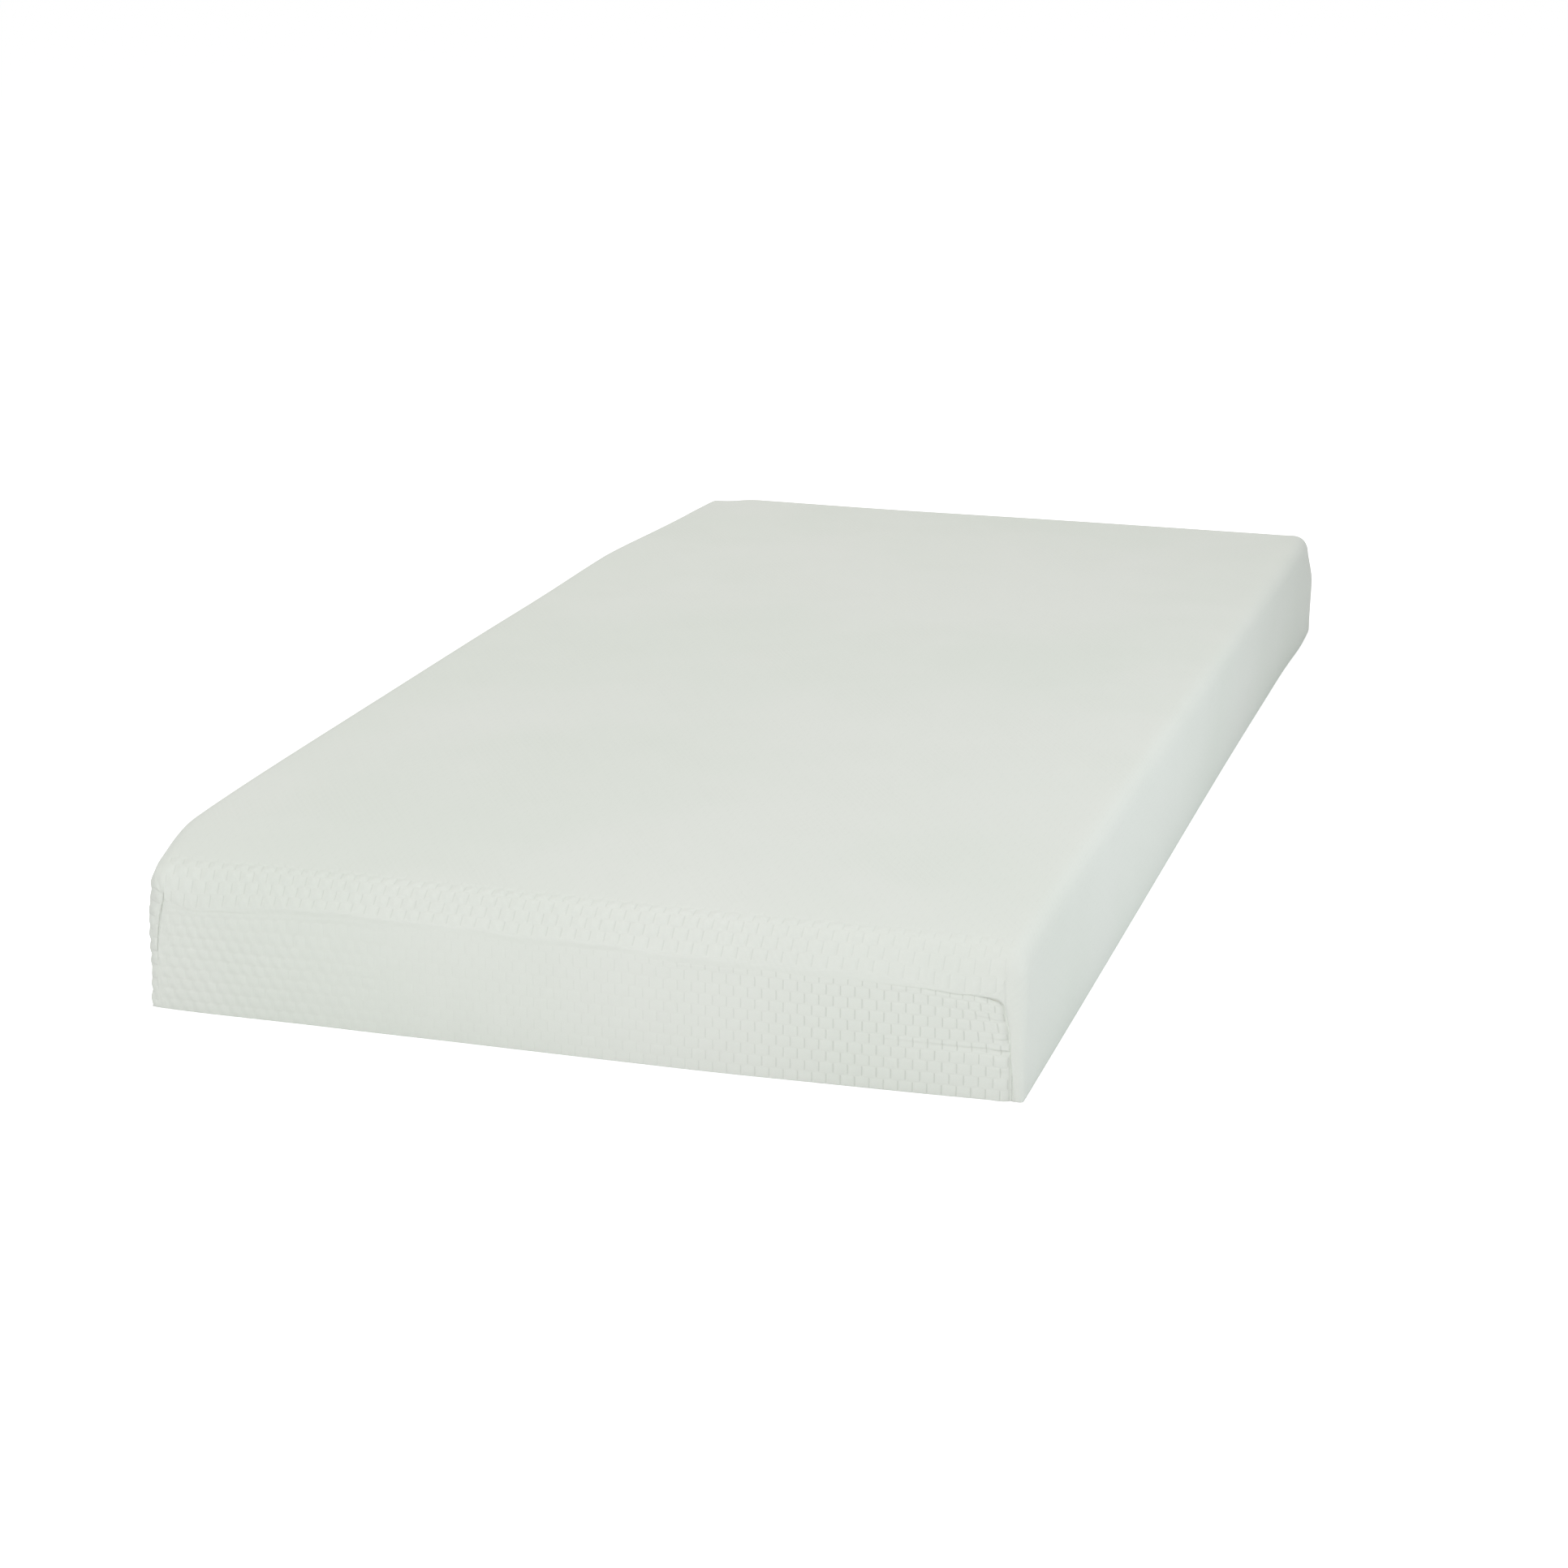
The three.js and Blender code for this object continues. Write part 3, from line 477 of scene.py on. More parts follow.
def cover_place(across, along, depth):
    """Points of the cover, for measures across from the middle of the top and along from the foot seam.

    Across, the profile is the flat top, a quarter circle and the upright side. Along, each line of
    the profile leaves the end seam on the end's face, turns over a quarter circle whose radius grows
    from the upright corner's at the floor to the soft edge's on top, and then runs straight to the
    head, where the same happens in mirror image. Towards the top the foot's quarter circle goes over
    into the flatter bend of the foot edge. The depth is taken along the surface's own normal.
    """
    at_foot = along <= ALONG / 2
    from_seam = np.where(at_foot, along, ALONG - along)
    side, reach = np.sign(across), np.abs(across)
    flat = np.clip(reach, 0, FLAT_HALF)
    turn = np.clip((reach - FLAT_HALF) / SIDE_ROLL, 0, QUARTER)
    down = np.clip(reach - FLAT_HALF - SIDE_ARC, 0, UPRIGHT)
    normal_x, normal_z = side * np.sin(turn), np.cos(turn)
    profile_x = side * (flat + SIDE_ROLL * np.sin(turn))
    profile_z = THICKNESS - SIDE_ROLL * (1 - np.cos(turn)) - down

    straight_top = SEAM_TOP - PANEL_CORNER
    seam_z = straight_top * (1 - down / UPRIGHT)
    draw = FLAT_HALF - (seam_half(SEAM_TOP) - PANEL_CORNER)
    level_x = flat - draw * smooth(flat, FLAT_HALF - SEAM_EASE, FLAT_HALF)
    seam_x = level_x + PANEL_CORNER * np.sin(turn) + seam_half(seam_z) - seam_half(straight_top)
    seam_x, seam_z = side * seam_x, seam_z + PANEL_CORNER * np.cos(turn)

    on_top = smooth(reach, FLAT_HALF + SIDE_ARC, FLAT_HALF - ROLL_EASE)
    bent = at_foot * smooth(reach, FLAT_HALF + 0.4 * SIDE_ARC, FLAT_HALF - BEND_EASE)
    radius = upright_corner(UPRIGHT - down) + (ROLL - UPPER_CORNER) * on_top
    radius = np.minimum(radius, (profile_x - seam_x) * normal_x + (profile_z - seam_z) * normal_z)
    edge_x, edge_z = profile_x - radius * normal_x, profile_z - radius * normal_z
    on_face = np.hypot(edge_x - seam_x, edge_z - seam_z)
    bend = radius * (QUARTER + (BEND_LENGTH - QUARTER) * bent)
    reach_back = radius * (1 - LEFT_FULL * bent * smooth(-across, FLAT_HALF - LEFT_EASE, FLAT_HALF))
    whole = on_face + bend + END_REACH - reach_back
    way = whole * np.minimum(from_seam / END_CLOTH, 1) + np.maximum(from_seam - END_CLOTH, 0)
    share = np.clip(way / np.maximum(on_face, 1e-9), 0, 1)
    over = np.clip((way - on_face) / bend, 0, 1)

    def turned_over(circle, foot_edge):
        """The circle's value, going over into the foot edge's where the turn is bent."""
        return circle * (1 - bent) + np.interp(over, BEND_SHARE, foot_edge) * bent

    angle = over * QUARTER
    rise, back = turned_over(np.sin(angle), BEND_RISE), turned_over(1 - np.cos(angle), BEND_BACK)
    slope = turned_over(angle, BEND_SLOPE)
    x = seam_x + (edge_x - seam_x) * share + radius * rise * normal_x
    z = seam_z + (edge_z - seam_z) * share + radius * rise * normal_z
    y = -HALF_LENGTH + reach_back * back + np.maximum(way - on_face - bend, 0)
    normal = np.stack([normal_x * np.sin(slope), -np.cos(slope), normal_z * np.sin(slope)], axis=-1)
    sunk = depth + cover_sink(across, along, way, z, profile_z, at_foot) * (depth == 0)
    points = np.stack([x, y, z], axis=-1) - normal * sunk[..., None]
    points[..., 1] *= np.where(at_foot, 1, -1)
    return settled(points)


def cover_sink(across, along, way, z, profile_z, at_foot):
    """How far the cover's face lies below its plain shape, at a way from the seam: narrow bells for the
    grooves of the end seam and the hem, wide ones for the dents right of the foot seam, less the ridge
    of the seam allowance, and the embossed cells."""
    seam_groove = SEAM_DEPTH * bell(way, 0, COVER_SLIT) * np.where(at_foot, seam_draw(across), HEAD_DRAW)
    low_dent = 0.0022 * smooth(across, ACROSS_HALF - 0.085, ACROSS_HALF - 0.045)
    fold_dent = 0.0010 * bell(profile_z, 0.049, 0.006) * (across > 0)
    dents = at_foot * (low_dent + fold_dent) * bell(way, 0, 0.0060)
    hem_groove = 0.0008 * bell(z, 0, 0.0018)
    ridge = bell(way, 0.0070, 0.0050) * smooth(way, 0, 0.0060)
    welt = np.where(at_foot, cover_welt(across), HEAD_WELT) * ridge
    return seam_groove + dents + hem_groove - welt + cover_relief(across, along)


def cover_welt(across):
    """Height of the ridge that the seam allowance raises along the foot panel's top seam."""
    waves = 0.75 + 0.25 * np.sin(across * 16 + 0.6) * np.sin(across * 39)
    return WELT * waves * (1 - 0.75 * smooth(across, 0.14, 0.36)) * smooth(across, -0.44, -0.30)


def roll_strength(across, along):
    """How strongly the cells stand out on the foot edge: four full rows above the seam, from the left
    corner to the middle, fading towards the right, and softer cells round the left corner."""
    rows = smooth(along, 0.007, 0.010) * smooth(along, 0.072, 0.058)
    ends = smooth(FLAT_HALF + 0.018 - np.abs(across), 0, 0.03)
    round_corner = smooth(-across, FLAT_HALF, FLAT_HALF + 0.03)
    beside = round_corner * smooth(along, 0.001, 0.008) * smooth(along, 0.06, 0.03)
    return rows * ends * (1 - 0.40 * smooth(across, 0.12, 0.42)) + 1.1 * beside


def cover_relief(across, along):
    """Depth of the embossing below the cover's face at the foot edge."""
    soft = 0.30 + 0.30 * smooth(-across, FLAT_HALF - 0.010, FLAT_HALF + 0.010)
    embossing = {"pillow": 0.00155, "tick": 0.00024, "scale_like": 0.75, "soft": soft}
    cells = knit_cells(across, along - ROLL_ROWS, ROLL_CELL, **embossing)
    return (cells - 0.0005) * roll_strength(across, along)


def cover_relief_and_shade(across, along):
    """How strongly the cover's cells are embossed and how dark the painted shade in the lines between them
    is, from 0 to 1.
    """
    body = smooth(along, 0.055, 0.090) * (1 - 0.4 * smooth(along, 0.35, 1.4))
    return 0.02 + 0.45 * roll_strength(across, along) + 0.10 * body


def cover_stations(top, roll, side):
    """Stations from hem to hem: those of half the top, then steps for the rolls and for the sides."""
    half = [
        top,
        FLAT_HALF + evenly(0, SIDE_ARC, roll)[1:],
        FLAT_HALF + SIDE_ARC + evenly(0, UPRIGHT - 0.004, side)[1:],
        ACROSS_HALF - HEM_STATIONS,
    ]
    half = np.concatenate(half)
    return np.concatenate([-half[:0:-1], half])


def make_cover():
    """The cover, fine over the foot edge where its cells stand out, and coarser elsewhere."""
    in_cells = by_cells(0, FLAT_HALF, ROLL_CELL[0] / 2, (0, 0.10, 0.28, 0.50, 0.72, 0.90))
    plain, below_cells = evenly(0, FLAT_HALF, 0.012), evenly(0.0027, ROLL_ROWS, 0.0010)[:-1]
    foot_rows = np.concatenate([EDGE_ROWS, below_cells, evenly(ROLL_ROWS, END_CLOTH, ROLL_CELL[1] / 8)])
    head_rows = ALONG - np.concatenate([[0, 0.001, 0.002], evenly(0.004, END_CLOTH, 0.0035)])[::-1]
    body_rows = evenly(END_CLOTH + 0.004, ALONG - END_CLOTH - 0.012, 0.0125)
    zones = [
        (cover_stations(in_cells, roll=0.0016, side=0.0026), foot_rows),
        (cover_stations(plain, roll=0.0050, side=0.0100), np.concatenate([body_rows, head_rows])),
    ]
    lining_rows = np.concatenate([[0], evenly(0.01, ALONG - 0.01, 0.02), [ALONG]])
    lining = (cover_stations(evenly(0, FLAT_HALF, 0.020), roll=0.0100, side=0.0200), lining_rows)
    return cloth("cover_cloth", cover_place, zones, lining, relief_and_shade=cover_relief_and_shade)


# ---- End panels ----


def rounded_corner(from_side, from_top, radius):
    """Way that a point near a square corner moves when the corner is rounded, inwards and downwards.

    Along each edge, the last radius before the corner goes onto half of the quarter circle, by equal
    shares. Inside, the two edges' ways are added and the corner's own is taken off, each fading over
    three radii.
    """

    def on_edge(distance):
        """Ways along and across an edge at a distance from the corner."""
        angle = np.clip(1 - distance / radius, 0, 1) * math.pi / 4
        straight = np.clip(radius - distance, 0, radius)
        return np.array([radius * np.sin(angle) - straight, radius * (np.cos(angle) - 1)])

    fade_side, fade_top = (np.clip(1 - way / (3 * radius), 0, 1) ** 2 for way in (from_side, from_top))
    from_edges = on_edge(from_side) * fade_top + on_edge(from_top)[::-1] * fade_side
    at_corner = on_edge(0.0)
    return from_edges - np.multiply.outer(at_corner, fade_top * fade_side)


FOLD_ABOVE, FOLD_BELOW = 0.0013, 0.0050  # half widths of a fold above and below its line
FOLD_BANDS = ((0.0490, 0.0560), (0.0620, 0.0680), (0.0840, 0.0900))  # heights with closer stations
# Small folds that run in from the right seam: height, length, depth and slope.
PUCKERS = (
    (0.0520, 0.060, 0.0034, 0.02),
    (0.0640, 0.012, 0.0030, 0.02),
    (0.0850, 0.050, 0.0009, 0.12),
    (0.0300, 0.030, 0.0008, 0.00),
)


def panel_puckers(across, height):
    """Depth of the folds on the foot panel: bells along sloping lines, sharper above than below, that
    die away from the right seam, and one from the left seam."""
    from_right, from_left = SEAM_HALF - across, SEAM_HALF + across
    folds = 0.0008 * bell(height - 0.078 - 0.08 * from_left, 0, 0.002) * np.exp(-from_left / 0.03)
    for level, length, deep, slope in PUCKERS:
        line = height - level - slope * from_right
        fold = deep * bell(line, 0, np.where(line > 0, FOLD_ABOVE, FOLD_BELOW))
        folds = folds + fold * np.exp(-from_right / length) * smooth(from_right, 0, 0.004)
    return folds


def foot_relief(across, height, from_side, from_top):
    """Depth of the foot panel's relief: soft round bumps at the left, nearly flat in the middle and
    crisp lines at the right, with the folds, slow waves and a puffed strip beside the right seam."""
    right, crisp = smooth(across, 0.3, 0.45), smooth(across, 0.16, 0.34)
    pillow = 0.00180 - 0.00158 * smooth(across, -0.43, -0.12) + 0.00006 * crisp
    tick = 0.00002 + 0.00009 * smooth(across, -0.22, 0.0) + 0.00022 * smooth(across, 0.08, 0.32)
    soft = 0.45 * smooth(across, 0.10, -0.20)
    lines = {"tick": tick, "row_line": 0.00010 * crisp, "scale_like": 0.25, "soft": soft}
    cells = knit_cells(across, height, PANEL_CELL, pillow, **lines) - pillow / 2
    waves = 0.0005 * np.sin(across * 23 + 1) * np.sin(height * 34 + across * 7)
    puff = 0.0012 * bell(from_side, 0.011, 0.008) * right * smooth(from_top, 0, 0.02)
    return cells + panel_puckers(across, height) + waves - puff


def panel_place(low, high, foot):
    """Makes the function that places an end panel between two heights.

    The panel is a flat upright cloth whose upper corners are rounded off when it reaches the seam's
    top. Its edges sink into the seam as two bells, and the cells are pressed in from its face.
    """

    def place(across, height, depth):
        """Points of the panel: the flat cloth leant in, rounded, sunk at its seam and pressed."""
        side, from_side, from_top = np.sign(across), SEAM_HALF - np.abs(across), high - height
        leaning = smooth(np.abs(across), 0.400, SEAM_HALF - PANEL_CORNER)
        x, z, seam = across - side * (SEAM_HALF - seam_half(height)) * leaning, height, from_side
        if high == SEAM_TOP:
            move_x, move_z = rounded_corner(from_side, from_top, PANEL_CORNER)
            x, z, seam = x + side * move_x, z + move_z, np.minimum(from_side, from_top)
        if foot:
            right = smooth(across, 0.3, 0.45) * (0.5 + 0.5 * smooth(height, 0.050, 0.070))
            shoulder, draw, hem = 0.0005 + 0.0016 * right, seam_draw(across), 0.0001
            relief, slot_edge = foot_relief(across, height, from_side, from_top), 0
        else:
            shoulder, draw, hem = 0.0005, HEAD_DRAW, 0.0004
            relief = knit_cells(across, height, PANEL_CELL, pillow=0.0003, tick=0.00025)
            slot_edge = 0.0009 * bell(from_top, 0, HEM_SLIT) * (high != SEAM_TOP)
        edge = (SEAM_DEPTH * bell(seam, 0, PANEL_SLIT) + shoulder * bell(seam, 0, SHOULDER_WIDTH)) * draw
        edge = edge + hem * bell(height - low, 0, HEM_SLIT) + slot_edge
        y = HALF_LENGTH - depth - (edge + relief * smooth(seam, 0.0008, 0.006)) * (depth == 0)
        return settled(np.stack([x, -y if foot else y, z], axis=-1))

    return place


def panel_relief_and_shade(across, height):
    """How strongly the foot panel's cells are embossed and how dark the painted shade in the lines between
    them is.
    """
    return 0.05 + 0.13 * smooth(across, -0.25, 0.05) + 0.52 * smooth(across, 0.05, 0.32)


def make_foot_panel():
    """The foot panel, with stations set closer on the lines between its cells and on its folds."""
    across = by_cells(-SEAM_HALF, SEAM_HALF, PANEL_CELL[0] / 2, (0, 0.07, 0.20, 0.40, 0.60, 0.80, 0.93))
    height = by_cells(0, SEAM_TOP, PANEL_CELL[1], (0, 0.06, 0.18, 0.34, 0.50, 0.66, 0.82, 0.94))
    folds = [evenly(low, high, 0.0010) for low, high in FOLD_BANDS]
    height = np.unique(np.concatenate([height, *folds]).round(5))
    lining = (evenly(-SEAM_HALF, SEAM_HALF, 0.020), evenly(0, SEAM_TOP, 0.010))
    place = panel_place(0.0, SEAM_TOP, True)
    return cloth("foot_panel_cloth", place, [(across, height)], lining, relief_and_shade=panel_relief_and_shade)


def make_head_piece(name, node):
    """A piece of the head end, above or below the zip. Seen from outside it runs from right to left."""
    low, high = corners(node)[0][2], corners(node)[1][2]
    place = panel_place(low, high, False)
    across = by_cells(-SEAM_HALF, SEAM_HALF, PANEL_CELL[0] / 2, (0, 0.12, 0.35, 0.65, 0.88))
    rim = np.array([0, 0.0005, 0.0012])
    height = np.unique(np.concatenate([low + rim, evenly(low + 0.002, high - 0.002, 0.0021), high - rim]))
    lining = (evenly(-SEAM_HALF, SEAM_HALF, 0.020), evenly(low, high, 0.010))

    def turned(across, height, depth):
        """The panel's points, run from right to left."""
        return place(-across, height, depth)

    # The head pieces' cells are embossed, and their lines darkened with painted shade, at one even strength.
    return cloth(name, turned, [(across, height)], lining, relief_and_shade=lambda u, v: np.full_like(u, 0.35))


# ---- Underside, flame barrier and foams ----

UNDERSIDE_CORNER = 0.009
# Stations of the underside's last part, measured in from its edge.
UNDERSIDE_EDGE = np.array([0.030, 0.021, 0.015, 0.010, 0.0075, 0.005, 0.003, 0.0015, 0.0006, 0])
CLOSING_RINGS = (0.02, 0.08, 0.25, 0.5, 0.75, 0.9998)  # shares of the way in to the middle line
EASED_TURN = (0, 0.35, 0.7, 1.1, QUARTER)  # angles of the steps on a slab's eased lower and upper edge
LEAST_CORNER = 0.003  # least radius of a slab's upright corners, and what is added to the cover's
BARRIER_WALL = 0.0009


def make_bottom_panel():
    """The underside cloth: a flat sheet with rounded corners, its edge rolled up into the hem seam."""
    half_x, half_y, top = corners("bottom_panel")[1]

    def place(across, along, depth):
        """Points of the underside. Seen from below, across runs from right to left."""
        from_side, from_end = half_x - np.abs(across), half_y - np.abs(along)
        move_x, move_y = rounded_corner(from_side, from_end, UNDERSIDE_CORNER)
        z = depth + 0.0007 * bell(np.minimum(from_side, from_end), 0, HEM_SLIT) * (depth == 0)
        x, y = -(across + np.sign(across) * move_x), along + np.sign(along) * move_y
        return settled(np.stack([x, y, z], axis=-1))

    def stations(half):
        """Stations over the whole width or length, closer together at the edges."""
        half_way = np.concatenate([evenly(0, half - 0.042, 0.0125), half - UNDERSIDE_EDGE])
        return np.concatenate([-half_way[:0:-1], half_way])

    zone = (stations(half_x), stations(half_y))
    return cloth("underside_cloth", place, [zone], zone, wall=top - 0.0001)


def rounded_loop(half_x, half_y, radius, steps):
    """Points of a rounded rectangle's four quarter circles in turn, and the first point again."""
    half_x, half_y, radius = (np.asarray(value)[..., None] for value in (half_x, half_y, radius))
    turns = []
    for k, (side, end) in enumerate(((1, -1), (1, 1), (-1, 1), (-1, -1))):
        angle = np.linspace(0, QUARTER, steps) + (k - 1) * QUARTER
        x = side * (half_x - radius) + radius * np.cos(angle)
        turns.append(np.stack([x, end * (half_y - radius) + radius * np.sin(angle)], axis=-1))
    return np.concatenate([*turns, turns[0][..., :1, :]], axis=-2)


def slab(name, levels, per_corner=6, step=0.02):
    """A closed foam slab from levels of (half width, foot, head, corner radius, height), bottom up.

    Each level is a rounded rectangle; its corner points and the points between them, at most a step
    apart, have the same numbers on every level, so that the levels join into a skin. The first and
    the last level are closed by rings that shrink evenly to the middle line.
    """
    half_x, foot, head, radius, height = levels.T
    middle, half_y = (head + foot) / 2, (head - foot) / 2
    radius = np.minimum(radius, half_x - 1e-4)
    loop = rounded_loop(half_x, half_y, radius, per_corner + 1)
    loop[..., 1] += middle[:, None]
    straights = [2 * (half.max() - radius.max()) for half in (half_y, half_x)] * 2
    station = []
    for k, straight in enumerate(straights):
        first = k * (per_corner + 1)
        between = np.linspace(0, 1, int(straight / step) + 1, endpoint=False)
        station += [first + np.arange(per_corner), first + per_corner + between]
    station = np.concatenate(station)
    first = station.astype(int)
    share = (station - first)[:, None]
    ring = loop[:, first] * (1 - share) + loop[:, first + 1] * share
    z = np.broadcast_to(height[:, None, None], ring[..., :1].shape)
    points = settled(np.concatenate([ring, z], axis=-1))
    return tidy_mesh(new_object(name, points.reshape(-1, 3), carried(points), smooth_angle=40), 2e-5)


def slab_levels(node, rolled=True, ease=0.0012):
    """Levels of a slab that fills the cover between a node's underside and top, as far in as the node.

    Upright faces lie the inset inside the cover's. Over the soft edges a level draws in by the
    cover's own section at that side, moved in along its normal by the inset: a circle at the sides
    and the head, the flatter bend at the foot. Its corners are the cover's, a little rounder. The
    first and the last levels close the slab: eased steps and then six rings down to the middle line.
    """
    (_, _, bottom), (far_x, far_y, top) = corners(node)
    inset, head_inset = HALF_WIDTH - far_x, HALF_LENGTH - far_y
    roll, side_roll = ROLL - inset, SIDE_ROLL - inset
    bend_height = SEAM_TOP + ROLL * BEND_RISE - inset * np.sin(BEND_SLOPE)
    bend_foot = -HALF_LENGTH + ROLL * BEND_BACK + inset * np.cos(BEND_SLOPE)

    def drawn(height, start, radius):
        """Way in at a height of a quarter circle that starts at a height."""
        rise = min(max((height - start) / radius, 0), 1)
        return radius * (1 - math.sqrt(1 - rise**2))

    def level(height, extra=0.0):
        """The level at a height, drawn in by an extra way all round."""
        side, end = drawn(height, UPRIGHT, side_roll), drawn(height, SEAM_TOP, roll)
        corner = max(float(upright_corner(height)) - inset, LEAST_CORNER) + LEAST_CORNER + 0.9 * end
        half_x = HALF_WIDTH - inset - side - extra
        foot = float(np.interp(height, bend_height, bend_foot)) + extra
        head = HALF_LENGTH - head_inset - end - extra
        return half_x, foot, head, max(min(corner - extra, half_x), 1e-4), height

    middle = HALF_WIDTH - inset
    eased = [(ease * (1 - math.cos(angle)), ease * (1 - math.sin(angle))) for angle in EASED_TURN]
    rows = [level(bottom, share * middle) for share in CLOSING_RINGS[::-1]]
    rows += [level(bottom + up, extra) for up, extra in eased]
    if rolled:
        rows += [level(SEAM_TOP + roll * math.sin(angle)) for angle in np.linspace(0, QUARTER, 16)[:-1]]
        rows.append(level(top))
        middle = middle - side_roll
    else:
        rows += [level(top - down, extra) for down, extra in eased[::-1]]
    return np.array(rows + [level(top, share * middle) for share in CLOSING_RINGS])


def make_sock():
    """The knitted flame barrier, one sleeve sewn shut round both foams."""
    sock = slab("flame_barrier_sleeve", slab_levels("fire_sock", ease=0.004))
    wall = sock.modifiers.new("wall", "SOLIDIFY")
    wall.thickness, wall.offset = BARRIER_WALL, -1
    return sock


# ---- Threads ----

STITCH_RINGS, STITCH_SIDES = 7, 6
END_HALVES = np.array([[0, 1, 2, 3], [0, 3, 4, 5]])  # the two quads that close a stitch's end
PATH_STEP = 0.002


def steps_along(path):
    """Ways along a path to each of its points."""
    return np.concatenate([[0], np.cumsum(np.linalg.norm(np.diff(path, axis=0), axis=1))])


def unit(vectors):
    """Vectors brought to length 1."""
    return vectors / np.linalg.norm(vectors, axis=-1, keepdims=True)


def ring_angles(count):
    """Angles of evenly spaced points round a thread or a wire, as a column."""
    return (np.arange(count) * 2 * math.pi / count)[:, None]


def stitches(name, path, outward, pitch, radius, gap=0.18, dip=0.35):
    """A row of lock stitches along a path: each is a short lens-shaped length of thread.

    A stitch spans its pitch less the gap. Its centre line rises as a half sine from its two needle
    holes, and its radius is the thread's times a root of a half sine, so that both ends close.
    """
    way = steps_along(path)
    count = int(way[-1] / pitch)
    t = np.linspace(0, 1, STITCH_RINGS)
    start = (np.arange(count) + gap / 2) * way[-1] / count
    at = start[:, None] + t * (1 - gap) * way[-1] / count
    centre = np.stack([np.interp(at, way, path[:, k]) for k in range(3)], axis=-1)
    ahead = unit(centre[:, -1:] - centre[:, :1])
    out = np.broadcast_to(np.array(outward, float), centre.shape)
    sideways = unit(np.cross(np.broadcast_to(ahead, out.shape), out))
    centre = centre + out * (radius * dip * 2 * (np.sin(np.pi * t) - 0.5))[:, None]
    thick = radius * np.sqrt(np.clip(np.sin(np.pi * (0.02 + 0.96 * t)), 0.05, 1))
    angle = ring_angles(STITCH_SIDES)
    round_it = sideways[:, :, None] * np.cos(angle) + out[:, :, None] * np.sin(angle)
    points = centre[:, :, None] + round_it * thick[:, None, None]
    index = numbered(points)
    starts = [index[:, 0][:, half] for half in END_HALVES]
    ends = [index[:, -1][:, half[::-1]] for half in END_HALVES]
    faces = np.concatenate([carried(points)[:, ::-1], *starts, *ends])
    return new_object(name, points.reshape(-1, 3), faces, smooth_angle=80)


def end_seam_path(node):
    """Path of an end seam's thread: up one side of the panel, round its corners and down the other."""
    low, high = corners(node)
    into_gap = 0.0002
    half, top = seam_half(SEAM_TOP) + into_gap, SEAM_TOP + into_gap
    up = evenly(low[2], top - PANEL_CORNER, PATH_STEP)
    turn = np.linspace(0, QUARTER, 10)[1:]
    level = evenly(-(half - PANEL_CORNER), half - PANEL_CORNER, PATH_STEP)[1:-1]
    left_x = np.concatenate([-seam_half(up) - into_gap, -half + PANEL_CORNER * (1 - np.cos(turn))])
    left_z = np.concatenate([up, top - PANEL_CORNER * (1 - np.sin(turn))])
    x = np.concatenate([left_x, level, -left_x[::-1]])
    z = np.concatenate([left_z, np.full(len(level), top), left_z[::-1]])
    return settled(np.stack([x, np.full(len(x), (low[1] + high[1]) / 2), z], axis=-1))


def hem_path(node):
    """Path of the hem's thread round the underside: a rounded rectangle in the gap of the hem seam."""
    low, high = corners(node)
    inset, corner, step = 0.0003, 0.008, 0.003
    loop = rounded_loop(high[0] - inset, high[1] - inset, corner, 10)
    way = steps_along(loop)
    x, y = (np.interp(evenly(0, way[-1], step), way, part) for part in loop.T)
    return settled(np.stack([x, y, np.full(len(x), (low[2] + high[2]) / 2)], axis=-1))


def level_path(node):
    """Straight path of a level row of stitches, through the middle of its node."""
    low, high = corners(node)
    x = evenly(low[0], high[0], 0.02)
    y, z = (low + high)[1:] / 2
    return np.stack([x, np.full(len(x), y), np.full(len(x), z)], axis=-1)


# ---- Zip ----

COIL_PITCH = 0.0015
COIL_WIRE = 0.00027  # radius of the coil's wire
MESHED_EDGE, PARTED_EDGE = -0.0004, 0.0016  # a coil's inner edge, from the zip's centre line
PARTING = 0.0014  # how far a coil's outer edge moves out where the rows part
PARTING_START, PARTING_END = 0.0002, 0.0074  # where they part, measured from the slider's back
EASED_EDGE, EASED_PULL = 0.00018, 0.00022  # bevels of the metal pieces and of the pull
TAPE_STEPS, TAPE_STEP = 26, 0.006  # points over a tape's width, and the way between its sections
TAPE_CORDS, CORD_WIDTH = (0.10, 0.30), 0.05  # the cords' places and width, as shares of the tape's width
PLAIN_TAPE = 0.62  # thickness of the tape beside its cords, as a share of the whole
TAPE_RIM = 0.02  # share of the width over which each edge is rounded
TURN_POINTS, WIRE_SIDES = 9, 5

zip_line = (corners("zip_coil_upper")[0][2] + corners("zip_coil_lower")[1][2]) / 2
zip_plane = sum(corner[1] for corner in corners("zip_tape_upper")) / 2


